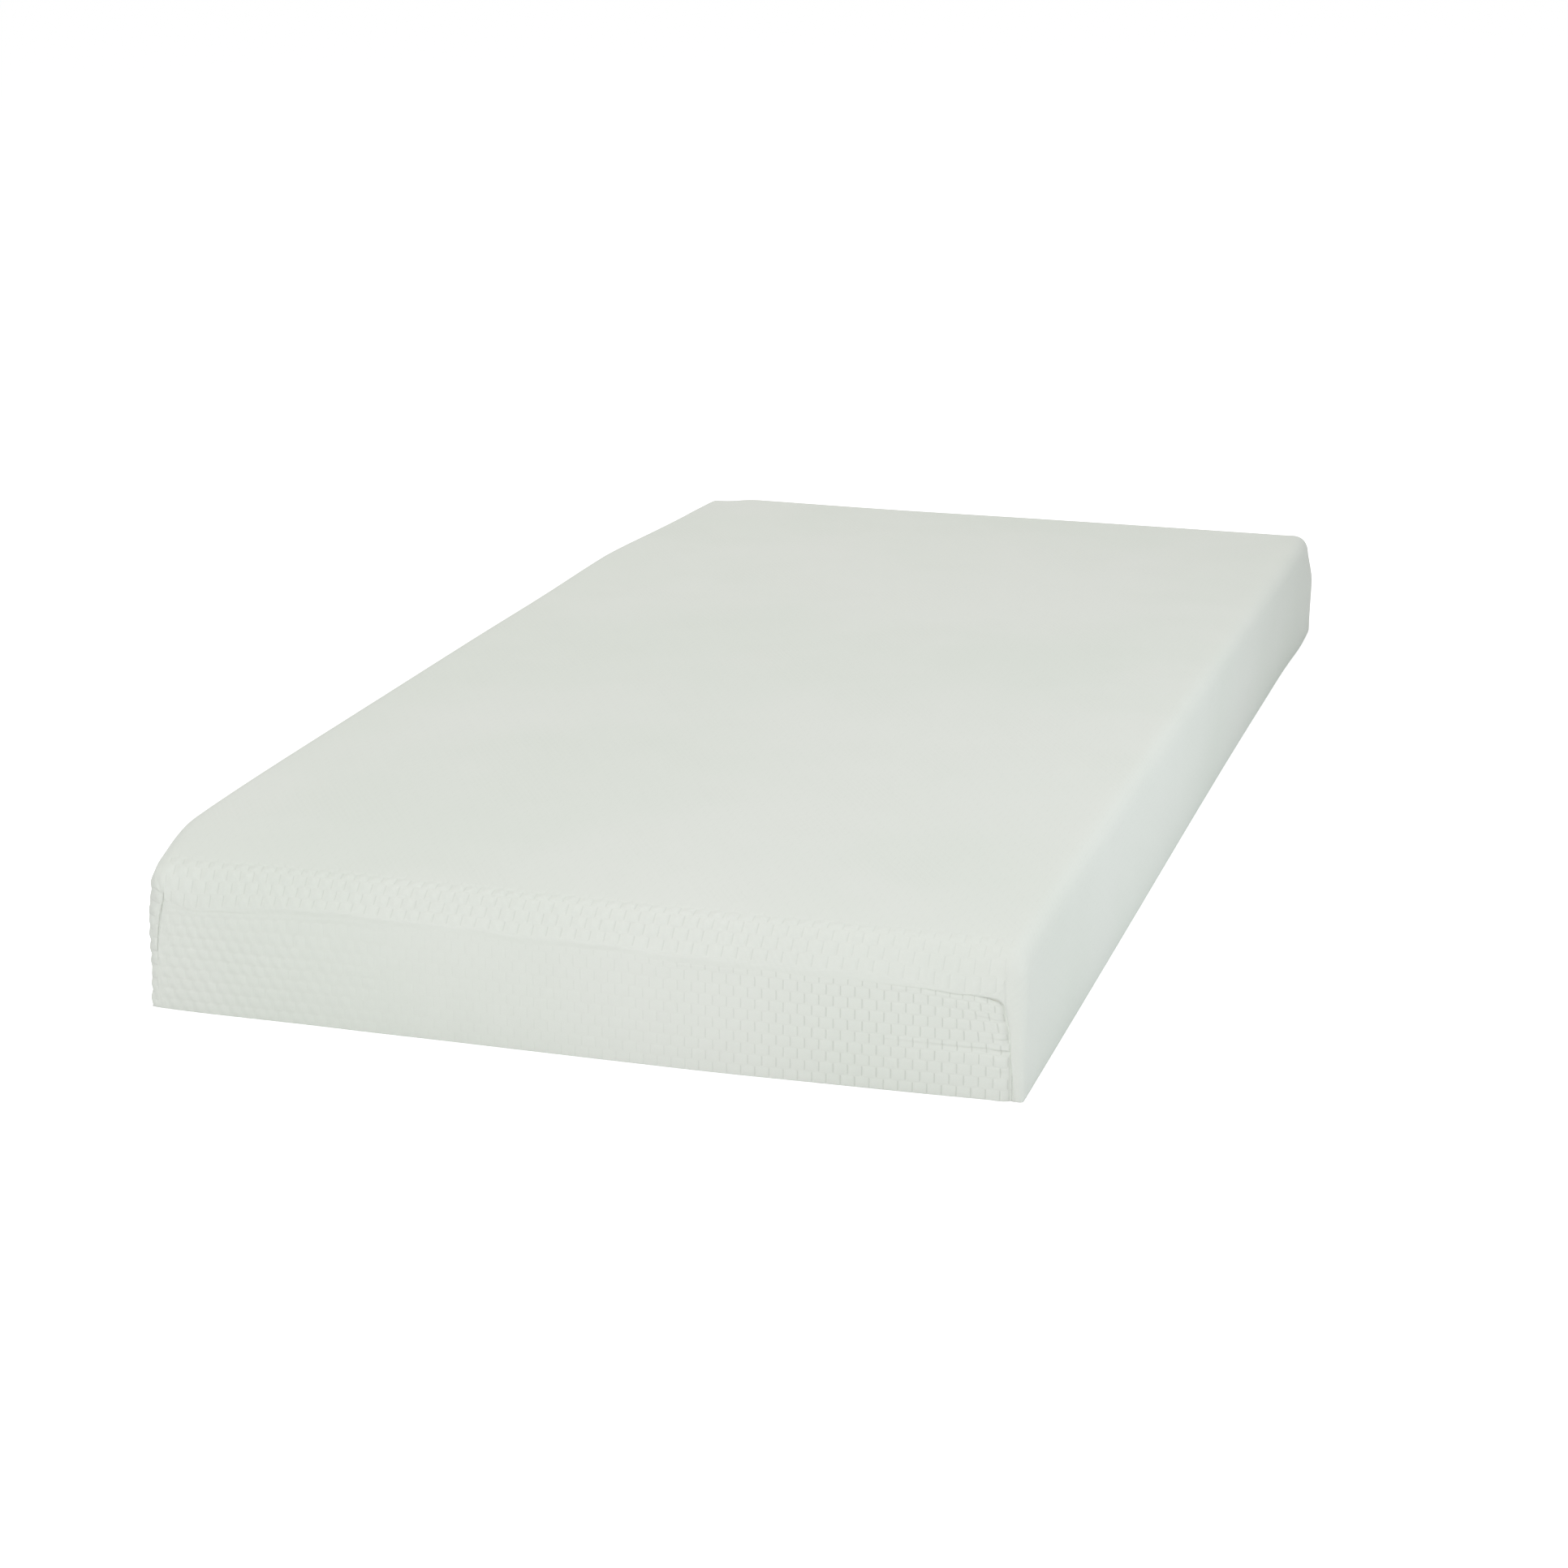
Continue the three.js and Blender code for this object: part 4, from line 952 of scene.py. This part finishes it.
def make_tape(name, node, upper):
    """A woven tape: a thin band with rounded edges and two thicker cords woven in beside the coil."""
    low, high = corners(node)
    stations = evenly(low[0], high[0], TAPE_STEP)
    share = np.linspace(0, 1, TAPE_STEPS)
    from_coil = share if upper else 1 - share
    cords = sum(bell(from_coil, cord, CORD_WIDTH) for cord in TAPE_CORDS)
    thick = (high[1] - low[1]) / 2 * (PLAIN_TAPE + (1 - PLAIN_TAPE) * cords)
    thick *= np.sqrt(np.clip(np.minimum(share, 1 - share) / TAPE_RIM, 0.02, 1))
    z, middle = low[2] + share * (high[2] - low[2]), (low[1] + high[1]) / 2
    profile_y = np.concatenate([middle + thick, (middle - thick)[::-1]])
    profile_z = np.concatenate([z, z[::-1]])
    sections = np.stack(np.broadcast_arrays(stations[:, None], profile_y, profile_z), axis=-1)
    index = numbered(sections)

    def cap(ring):
        """Quads that close the profile between its front half and its back half."""
        return grid_quads(np.stack([ring[:TAPE_STEPS], ring[: TAPE_STEPS - 1 : -1]]))

    faces = np.concatenate([carried(sections), cap(index[0]), cap(index[-1])[:, ::-1]])
    uv = sections[..., (0, 2)].reshape(-1, 2)
    return tidy_mesh(new_object(name, sections.reshape(-1, 3), faces, uv=uv), 1e-7)


def make_coil(name, node, sign):
    """A row of nylon coil: a flattened helix that hooks half a turn over the centre line where it is
    meshed, and stands clear of it under the slider, where the rows part."""
    low, high = corners(node)
    slider_back = corners("zip_slider")[0][0]
    outer = max(abs(high[2] - zip_line), abs(low[2] - zip_line))
    turns = int((high[0] - low[0] - 2 * COIL_WIRE) / COIL_PITCH) - 1
    phase = np.arange(turns * TURN_POINTS + 1) / TURN_POINTS
    lag = 0.0 if sign > 0 else 0.5
    x = low[0] + COIL_WIRE + (phase + lag) * COIL_PITCH
    parting = smooth(x, slider_back + PARTING_START, slider_back + PARTING_END)
    inner_edge = MESHED_EDGE + parting * (PARTED_EDGE - MESHED_EDGE)
    outer_edge = outer - PARTING * (1 - parting)
    middle, half = (inner_edge + outer_edge) / 2, (outer_edge - inner_edge) / 2 - COIL_WIRE
    turn, middle_y = 2 * math.pi * phase, (low[1] + high[1]) / 2
    y = middle_y + ((high[1] - low[1]) / 2 - COIL_WIRE) * np.sin(turn)
    path = np.stack([x, y, zip_line + sign * (middle + half * np.cos(turn))], axis=-1)
    ahead = unit(np.gradient(path, axis=0))
    inward = np.stack([x, np.full(len(x), middle_y), zip_line + sign * middle], axis=-1) - path
    inward = unit(inward - ahead * (inward * ahead).sum(axis=1, keepdims=True))
    beside, angle = np.cross(ahead, inward), ring_angles(WIRE_SIDES)
    sections = path[:, None] + COIL_WIRE * (inward[:, None] * np.cos(angle) + beside[:, None] * np.sin(angle))
    fan = np.array([[0, 1, 2], [0, 2, 3], [0, 3, 4]])
    caps = np.concatenate([fan, (len(x) - 1) * WIRE_SIDES + fan[:, ::-1]])
    return tidy_mesh(new_object(name, sections.reshape(-1, 3), carried(sections)[:, ::-1], caps), 1e-8)


def eased(name, node, width=EASED_EDGE):
    """A copy of a metal part of the frame with its edges eased, as die casting leaves them."""
    obj = tidy_mesh(linked(name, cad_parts[node].data.copy()), 2e-6, flat_angle=math.radians(1))
    ease = obj.modifiers.new("eased_edges", "BEVEL")
    ease.width, ease.segments, ease.limit_method, ease.angle_limit = width, 2, "ANGLE", math.radians(35)
    obj.data.polygons.foreach_set("use_smooth", np.ones(len(obj.data.polygons), bool))
    obj.data.set_sharp_from_angle(angle=math.radians(30))
    return obj


# ---- Shading kit ----


def feed(node, values):
    """Links fields to a node's inputs, or sets plain values on them."""
    for key, value in values.items():
        if isinstance(value, Field):
            node.id_data.links.new(value.socket, node.inputs[key])
        else:
            node.inputs[key].default_value = value


def add(tree, kind, values, output=0, **settings):
    """Adds a shader node with its settings and inputs, and gives one of its outputs as a field."""
    node = tree.nodes.new("ShaderNode" + kind)
    for key, value in settings.items():
        setattr(node, key, value)
    feed(node, values)
    return Field(node.outputs[output])


class Field:
    """A value that changes over a surface: a node's output, with sums that are Math nodes."""

    def __init__(self, socket):
        self.socket, self.tree = socket, socket.id_data

    def math(self, operation, *values):
        """A Math node with this field as its first value."""
        return add(self.tree, "Math", dict(enumerate((self, *values))), operation=operation)

    def __rsub__(self, other):
        return add(self.tree, "Math", {0: other, 1: self}, operation="SUBTRACT")

    __add__ = partialmethod(math, "ADD")
    __sub__ = partialmethod(math, "SUBTRACT")
    __mul__ = partialmethod(math, "MULTIPLY")
    __truediv__ = partialmethod(math, "DIVIDE")
    floor = partialmethod(math, "FLOOR")
    fract = partialmethod(math, "FRACT")
    least = partialmethod(math, "MINIMUM")
    most = partialmethod(math, "MAXIMUM")
    modulo = partialmethod(math, "FLOORED_MODULO")
    sine = partialmethod(math, "SINE")
    zigzag = partialmethod(math, "PINGPONG")


def span(value, low, high, out_low=0.0, out_high=1.0):
    """Maps a field from one span to another, smoothly and within its limits."""
    values = {"Value": value, "From Min": low, "From Max": high, "To Min": out_low, "To Max": out_high}
    return add(value.tree, "MapRange", values, "Result", interpolation_type="SMOOTHSTEP")


def noise(place, scale, detail, roughness):
    """A noise texture's value."""
    values = {"Vector": place, "Scale": scale, "Detail": detail, "Roughness": roughness}
    return add(place.tree, "TexNoise", values, "Fac")


def mixed(share, first, second):
    """Mixes two colours."""
    return add(share.tree, "Mix", {0: share, 6: first, 7: second}, 2, data_type="RGBA")


def vector_math(operation, first, second, output=0):
    """A Vector Math node's output."""
    return add(first.tree, "VectorMath", {0: first, 1: second}, output, operation=operation)


def plane_parts(place):
    """The first two parts of a vector."""
    return [add(place.tree, "SeparateXYZ", {0: place}, part) for part in (0, 1)]


def node_group(**inputs):
    """Makes a node group, built once, from the function that follows, and gives what places it.

    inputs holds the names and defaults of the group's inputs, where None is a vector. The function
    turns them into its named outputs. What places the group takes its own values for the inputs.
    """

    def socket_kind(value):
        """Vector for None or three parts, colour for four, else a plain number."""
        if value is None or len(np.atleast_1d(value)) == 3:
            return "NodeSocketVector"
        return "NodeSocketColor" if isinstance(value, tuple) else "NodeSocketFloat"

    def built(build):
        """Fills the group's tree from the function."""
        tree = bpy.data.node_groups.new(build.__name__, "ShaderNodeTree")
        for key, value in inputs.items():
            socket = tree.interface.new_socket(name=key, in_out="INPUT", socket_type=socket_kind(value))
            if value is not None:
                socket.default_value = value
        entry = tree.nodes.new("NodeGroupInput")
        outputs = build(**{key: Field(entry.outputs[key]) for key in inputs})
        for key in outputs:
            kind = "NodeSocketColor" if key == "colour" else "NodeSocketFloat"
            tree.interface.new_socket(name=key, in_out="OUTPUT", socket_type=kind)
        feed(tree.nodes.new("NodeGroupOutput"), outputs)

        def placed(first, **values):
            """Places the group where its first input's tree is, and gives its outputs."""
            node = first.tree.nodes.new("ShaderNodeGroup")
            node.node_tree = tree
            feed(node, {0: first, **values})
            return {key: Field(node.outputs[key]) for key in outputs}

        return placed

    return built


@node_group(cloth=None, cell_width=0.0142, cell_height=0.0115, line=0.0012)
def embossed_cells(cloth, cell_width, cell_height, line):
    """Rows of cells laid like bricks: a dome in each cell and lines on their edges."""
    across, along = plane_parts(cloth)
    rows = along / cell_height
    share = (across / cell_width + rows.floor().modulo(2.0) * 0.5).fract()
    height = rows.fract()
    near_side, near_row = share.least(1 - share), height.least(1 - height)
    upright = span(near_side * cell_width / line, 0.35, 1.0, 1.0, 0.0) * span(near_row, 0.02, 0.14)
    dome = span(near_side, 0.0, 0.32) * span(near_row, 0.0, 0.36)
    return {"upright": upright, "level": span(near_row, 0.0, 0.09, 1.0, 0.0), "dome": dome}


@node_group(cloth=None, loop_width=0.0011, loop_height=0.0009)
def knit_loops(cloth, loop_width, loop_height):
    """Knit loops: columns of V-shaped stitches, from two sine waves that lean to either side."""
    across, along = plane_parts(cloth)
    column = across / loop_width
    wave = ((along / loop_height + column.zigzag(0.5)) * (2 * math.pi)).sine()
    return {"height": (wave * 0.5 + 0.5) * (column.fract() * math.pi).sine()}


@node_group(cloth=None, way=(0.823, 0.568, 0.0), pitch=0.006, patch_scale=7.0)
def slanted_ribs(cloth, way, pitch, patch_scale):
    """Slanted ribs of the knit: a sine wave across the slant, kept to patches by a slow noise."""
    wave = (vector_math("DOT_PRODUCT", cloth, way, "Value") / pitch * (2 * math.pi)).sine()
    return {"height": (wave * 0.5 + 0.5) * span(noise(cloth, patch_scale, 1.5, 0.5), 0.46, 0.62)}


@node_group(
    place=None,
    tone_a=(0.7, 0.7, 0.7, 1),
    tone_b=(0.75, 0.75, 0.75, 1),
    slow_scale=3.0,
    fine_scale=900.0,
    mottle=0.05,
)
def colour_drift(place, tone_a, tone_b, slow_scale, fine_scale, mottle):
    """Slow drift between two tones, with a fine mottle of the yarn over it."""
    slow, fine = span(noise(place, slow_scale, 3.0, 0.55), 0.32, 0.68), noise(place, fine_scale, 2.0, 0.6)
    values = {0: mixed(slow, tone_a, tone_b), "Scale": (fine - 0.5) * mottle + 1.0}
    return {"colour": add(place.tree, "VectorMath", values, operation="SCALE"), "fine": fine}


@node_group(place=None, thread=0.0006)
def plain_weave(place, thread):
    """Plain weave: two sets of threads that pass over and under each other, as a product of sines."""
    warp, weft = ((part / thread * math.pi).sine() for part in plane_parts(place))
    return {"height": warp * weft * 0.5 + 0.5}


@node_group(place=None, scale=900.0)
def metal_wear(place, scale):
    """Fine scratches and dulled spots on metal, as a roughness and a small height."""
    streak = add(place.tree, "Mapping", {"Vector": place, "Scale": (1.0, 6.0, 6.0)})
    scratch = span(noise(streak, scale, 4.0, 0.7), 0.45, 0.70)
    return {"worn": scratch * 0.6 + noise(place, scale * 0.25, 2.0, 0.5) * 0.4, "height": scratch}


@node_group(place=None, scale=700.0)
def foam_pores(place, scale):
    """Open foam cells: round hollows of two sizes, and where the hollows lie, for the painted shade in them.
    """
    large, small = (
        add(place.tree, "TexVoronoi", {"Vector": place, "Scale": size, "Randomness": 1.0}, "Distance")
        for size in (scale, scale * 2.7)
    )
    return {"height": small * 0.35 + large * 0.65, "pore": span(large, 0.0, 0.35, 1.0, 0.0)}


# ---- Materials ----

DOT_PITCH = 0.008  # spacing of the underside's non-slip dots


def new_material(name, **settings):
    """A material whose Principled shader has the settings on its own sockets, and Object coordinates."""
    material = bpy.data.materials.new(name)
    material.use_nodes = True
    values = {key.replace("_", " "): value for key, value in settings.items()}
    feed(material.node_tree.nodes["Principled BSDF"], values)
    return material, add(material.node_tree, "TexCoord", {}, "Object")


def cloth_place(material):
    """A cloth's own flat measures."""
    return add(material.node_tree, "UVMap", {}, uv_map="cloth")


def finished(material, colour, roughness, height, strength, distance):
    """Feeds the colour, the roughness and a bump of a strength and a distance to the material's shader."""
    normal = add(height.tree, "Bump", {"Height": height, "Strength": strength, "Distance": distance})
    shader = material.node_tree.nodes["Principled BSDF"]
    feed(shader, {"Base Color": colour, "Roughness": roughness, "Normal": normal})
    return material


def darker(tone, share):
    """A tone dimmed to a share of itself."""
    return (*(share * part for part in tone[:3]), 1)


def knit_material(name, cell, rows_from, painted_line_shade, rib_shade):
    """Brushed white knit with embossed cells: loops, cells, painted shade in the lines between the cells and
    in the slanted ribs, and a soft sheen.
    """
    material, place = new_material(name, Sheen_Weight=0.18, Sheen_Roughness=0.5, Specular_IOR_Level=0.25)
    flat = cloth_place(material)
    relief_and_shade = add(material.node_tree, "Attribute", {}, "Fac", attribute_name="relief_and_shade")
    in_rows = vector_math("SUBTRACT", flat, (0, rows_from, 0))
    cells = embossed_cells(in_rows, cell_width=cell[0], cell_height=cell[1], line=0.0010)
    tones = {"tone_a": (0.715, 0.750, 0.690, 1), "tone_b": (0.742, 0.765, 0.715, 1)}
    drift, ribs = colour_drift(place, slow_scale=2.2, **tones), slanted_ribs(flat)["height"]
    # The lines between the cells and the slanted ribs are mixed towards a dark tone: painted shade in their
    # grooves.
    line = cells["upright"] * relief_and_shade + cells["level"] * (relief_and_shade * 0.18)
    colour = mixed(line * painted_line_shade + ribs * rib_shade, drift["colour"], (0.40, 0.42, 0.37, 1))
    height = cells["dome"] * relief_and_shade * 0.40 + knit_loops(flat)["height"] * 0.20 - line * 0.45
    height = height + ribs * (-8 * rib_shade)
    return finished(material, colour, drift["fine"] * 0.12 + 0.82, height, strength=0.5, distance=0.0006)


def tape_material():
    """Woven zip tape."""
    material, place = new_material("zip_tape", Sheen_Weight=0.1)
    weave = plain_weave(cloth_place(material), thread=0.0007)["height"]
    tone = (0.76, 0.78, 0.73, 1)
    drift = colour_drift(place, tone_a=tone, tone_b=darker(tone, 0.9), slow_scale=6.0)
    colour = mixed(weave * 0.25, drift["colour"], darker(tone, 0.9))
    return finished(material, colour, drift["fine"] * 0.15 + 0.72, weave, strength=0.6, distance=0.0003)


def underside_material():
    """Plain woven underside with a grid of small rubbery non-slip dots."""
    material, place = new_material("underside_fabric", Specular_IOR_Level=0.3)
    flat = cloth_place(material)
    weave = plain_weave(flat, thread=0.0009)["height"]
    drift = colour_drift(place, tone_a=(0.62, 0.62, 0.60, 1), tone_b=(0.68, 0.68, 0.66, 1), slow_scale=4.0)
    in_cells = vector_math("DIVIDE", flat, (DOT_PITCH, DOT_PITCH, 1))
    cell = add(flat.tree, "VectorMath", {0: in_cells}, operation="FRACTION")
    dot = span(vector_math("DISTANCE", cell, (0.5, 0.5, 0), "Value"), 0.13, 0.19, 1.0, 0.0)
    colour = mixed(dot, drift["colour"], (0.50, 0.50, 0.49, 1))
    return finished(material, colour, dot * -0.3 + 0.85, dot * 1.5 + weave, strength=0.6, distance=0.0003)


def foam_material(name, first, second, scale):
    """Cut open-cell foam, with painted shade in its pores."""
    material, place = new_material(name, Specular_IOR_Level=0.3, Subsurface_Weight=0.05)
    pores = foam_pores(place, scale=scale)
    drift = colour_drift(place, tone_a=first, tone_b=second, mottle=0.12)
    # The pores' hollows are mixed towards a darker tone: painted shade.
    colour = mixed(pores["pore"] * 0.5, drift["colour"], darker(first, 0.55))
    roughness = pores["pore"] * 0.1 + 0.85
    return finished(material, colour, roughness, pores["height"], strength=0.7, distance=0.0006)


def barrier_material():
    """Fine rib knit of the flame barrier."""
    material, place = new_material("flame_barrier", Sheen_Weight=0.1)
    weave = plain_weave(place, thread=0.0012)["height"]
    drift = colour_drift(place, tone_a=(0.74, 0.72, 0.66, 1), tone_b=(0.70, 0.68, 0.61, 1))
    roughness = drift["fine"] * 0.1 + 0.85
    return finished(material, drift["colour"], roughness, weave, strength=0.5, distance=0.0005)


def thread_material():
    """Twisted polyester thread."""
    material, place = new_material("seam_thread", Sheen_Weight=0.2, Specular_IOR_Level=0.4)
    tone = (0.73, 0.75, 0.70, 1)
    drift = colour_drift(place, tone_a=tone, tone_b=darker(tone, 0.94), fine_scale=2500.0)
    values = {"Vector": place, "Scale": 900.0, "Distortion": 1.5}
    twist = add(place.tree, "TexWave", values, "Fac", bands_direction="DIAGONAL")
    roughness = drift["fine"] * 0.2 + 0.5
    return finished(material, drift["colour"], roughness, twist, strength=0.4, distance=0.0001)


def nylon_material():
    """Off-white nylon monofilament."""
    material, place = new_material("zip_nylon", Specular_IOR_Level=0.5, Subsurface_Weight=0.1)
    drift = colour_drift(place, tone_a=(0.78, 0.79, 0.75, 1), tone_b=(0.72, 0.74, 0.70, 1), slow_scale=60.0)
    roughness = drift["fine"] * 0.25 + 0.25
    return finished(material, drift["colour"], roughness, drift["fine"], strength=0.2, distance=0.00005)


def metal_material():
    """Nickel-plated zinc with fine wear."""
    material, place = new_material("zip_metal", Metallic=1.0)
    wear = metal_wear(place, scale=1400.0)
    drift = colour_drift(place, tone_a=(0.62, 0.62, 0.60, 1), tone_b=(0.56, 0.56, 0.55, 1), slow_scale=220.0)
    roughness = wear["worn"] * 0.22 + 0.20
    return finished(material, drift["colour"], roughness, wear["height"], strength=0.15, distance=0.00004)


# ---- Pieces ----


def finish_piece(obj, material, node, body="mattress"):
    """Gives a piece its material in its one slot and its body, and hides the node of the frame that it stands
    for.
    """
    obj.data.materials.clear()
    obj.data.materials.append(material)
    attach(obj, body)
    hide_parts(node)
    return obj


cover_material = knit_material("cover_knit", ROLL_CELL, ROLL_ROWS, painted_line_shade=0.30, rib_shade=0.025)
panel_material = knit_material("panel_knit", PANEL_CELL, rows_from=0.0, painted_line_shade=0.40, rib_shade=0.0)
seam_material = thread_material()

cover = finish_piece(make_cover(), cover_material, "cover_top")
2 * ACROSS_HALF
foot_panel = finish_piece(make_foot_panel(), panel_material, "foot_end_panel")
for piece_name, node_name in (
    ("head_panel_cloth", "head_end_panel"),
    ("head_zip_strip_cloth", "head_zip_strip"),
):
    head_piece = finish_piece(make_head_piece(piece_name, node_name), panel_material, node_name)
    low, high = corners(node_name)

underside = finish_piece(make_bottom_panel(), underside_material(), "bottom_panel")
low, high = corners("bottom_panel")

# Each slab: its piece, its node, its finish, its two tones and the scale of its pores.
for piece_name, node_name, slot_name, first_tone, second_tone, pore_scale in (
    ("support_foam_slab", "base_foam", "support_foam", (0.78, 0.74, 0.62, 1), (0.74, 0.70, 0.58, 1), 900.0),
    ("memory_foam_slab", "comfort_foam", "memory_foam", (0.80, 0.80, 0.70, 1), (0.76, 0.76, 0.66, 1), 1500.0),
):
    foam = slab(piece_name, slab_levels(node_name, rolled=node_name == "comfort_foam"))
    finish_piece(foam, foam_material(slot_name, first_tone, second_tone, pore_scale), node_name)

sock = finish_piece(make_sock(), barrier_material(), "fire_sock")
low, high = corners("fire_sock")

HEADWARDS, FOOTWARDS, DOWNWARDS = (0, 1, 0), (0, -1, 0), (0, 0, -1)
# Each row of stitches: its piece, its node, its path, the way out, its pitch and its thread's radius.
for piece_name, node_name, path_of, outward, pitch, radius in (
    ("foot_seam_stitches", "foot_seam_thread", end_seam_path, FOOTWARDS, 0.0034, 0.00036),
    ("head_seam_stitches", "head_seam_thread", end_seam_path, HEADWARDS, 0.0034, 0.00036),
    ("hem_stitches", "bottom_seam_thread", hem_path, DOWNWARDS, 0.0045, 0.00030),
    ("barrier_stitches", "fire_sock_thread", level_path, HEADWARDS, 0.0050, 0.00035),
    ("zip_stitches_top", "zip_stitches_upper", level_path, HEADWARDS, 0.0030, 0.00022),
    ("zip_stitches_bottom", "zip_stitches_lower", level_path, HEADWARDS, 0.0030, 0.00022),
):
    thread_row = stitches(piece_name, path_of(node_name), outward, pitch, radius)
    finish_piece(thread_row, seam_material, node_name)

woven, nylon, plated = tape_material(), nylon_material(), metal_material()
for half, sign, carrier in (("upper", 1, "head_panel_cloth"), ("lower", -1, "head_zip_strip_cloth")):
    tape = make_tape("woven_tape_" + half, "zip_tape_" + half, sign > 0)
    finish_piece(tape, woven, "zip_tape_" + half)
    low, high = corners("zip_tape_" + half)
    coil = make_coil("nylon_coil_" + half, "zip_coil_" + half, sign)
    finish_piece(coil, nylon, "zip_coil_" + half)
    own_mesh(coil)
    stop = eased("top_stop_" + half, "zip_top_stop_" + half)
    finish_piece(stop, plated, "zip_top_stop_" + half)

finish_piece(eased("bottom_stop", "zip_bottom_stop"), plated, "zip_bottom_stop")
finish_piece(eased("slider_body", "zip_slider"), plated, "zip_slider", "slider")
finish_piece(eased("slider_pull", "zip_pull", EASED_PULL), plated, "zip_pull", "pull")


# ---- Studio ----

FLOOR_GLOW = 0.62  # what the camera sees the floor shine with, on top of the light that it gets
SKY = 0.44  # strength of the light from all round; where the camera looks past the floor it is 1


def camera_rays(tree):
    """1 for rays that the camera or a mirror-like surface sends, else 0."""
    rays = ("Is Camera Ray", "Is Glossy Ray", "Is Transmission Ray")
    camera, glossy, through = (add(tree, "LightPath", {}, ray) for ray in rays)
    return camera.most(glossy).most(through)


def make_floor():
    """A wide plain pale floor that lies just under the mattress and keeps its soft shadow."""
    far, near, below = 30.0, 4.0, 0.0004
    x, y = np.meshgrid(*[[-far, -near, near, far]] * 2)
    points = np.stack([x, y, np.full_like(x, -below)], axis=-1).reshape(-1, 3)
    floor = new_object("studio_floor", points, grid_quads(np.arange(16).reshape(4, 4)))
    pale = {"Base_Color": (0.86, 0.86, 0.86, 1), "Emission_Color": (1, 1, 1, 1)}
    material, _ = new_material("pale_floor", Roughness=1.0, Specular_IOR_Level=0.0, **pale)
    glow = camera_rays(material.node_tree) * FLOOR_GLOW
    feed(material.node_tree.nodes["Principled BSDF"], {"Emission Strength": glow})
    floor.data.materials.append(material)


def make_world():
    """Even pale light from all round, and plain white where the camera looks past the floor."""
    world = bpy.data.worlds.new("studio")
    bpy.context.scene.world = world
    world.use_nodes = True
    strength = camera_rays(world.node_tree) * (1 - SKY) + SKY
    feed(world.node_tree.nodes["Background"], {"Color": (1, 1, 1, 1), "Strength": strength})


def soft_light(name, place, target, size, power, colour):
    """A square soft light that faces a point."""
    data = bpy.data.lights.new(name, "AREA")
    data.shape, data.size, data.energy, data.color = "SQUARE", size, power, colour
    lamp = linked(name, data)
    lamp.location = place
    aim = Vector(target) - Vector(place)
    lamp.rotation_euler = aim.to_track_quat("-Z", "Y").to_euler()


def make_camera(place=(1.1429, -3.9197, 1.2909), lens=75.95, yaw=0.29719, pitch=0.30647):
    """A long lens above the foot end, turned a little to the left and looking down."""
    data = bpy.data.cameras.new("studio_camera")
    data.sensor_width, data.lens = 36, lens
    data.clip_start, data.clip_end = 0.05, 200
    camera = linked("studio_camera", data)
    camera.location = place
    camera.rotation_euler = (QUARTER - pitch, 0, yaw)
    bpy.context.scene.camera = camera


make_floor()
make_world()
# Each softbox: its name, its place, the point that it faces, its size, its power and its colour.
for softbox in (
    ("overhead_softbox", (-0.85, 1.1, 3.2), (-0.2, 0.5, 0.1), 3.0, 46, (1.0, 0.985, 0.96)),
    ("front_softbox", (0.1, -3.5, 2.1), (0.0, -0.9, 0.1), 2.0, 54, (0.985, 0.985, 1.0)),
    ("right_softbox", (1.9, -0.2, 0.6), (0.45, -0.2, 0.08), 1.2, 5.8, (0.86, 0.95, 1.0)),
    ("near_right_softbox", (2.1, -0.6, 0.7), (0.45, -0.9, 0.08), 1.2, 4.4, (0.92, 0.97, 1.0)),
):
    soft_light(*softbox)
make_camera()
bpy.context.scene.view_settings.view_transform = "Standard"
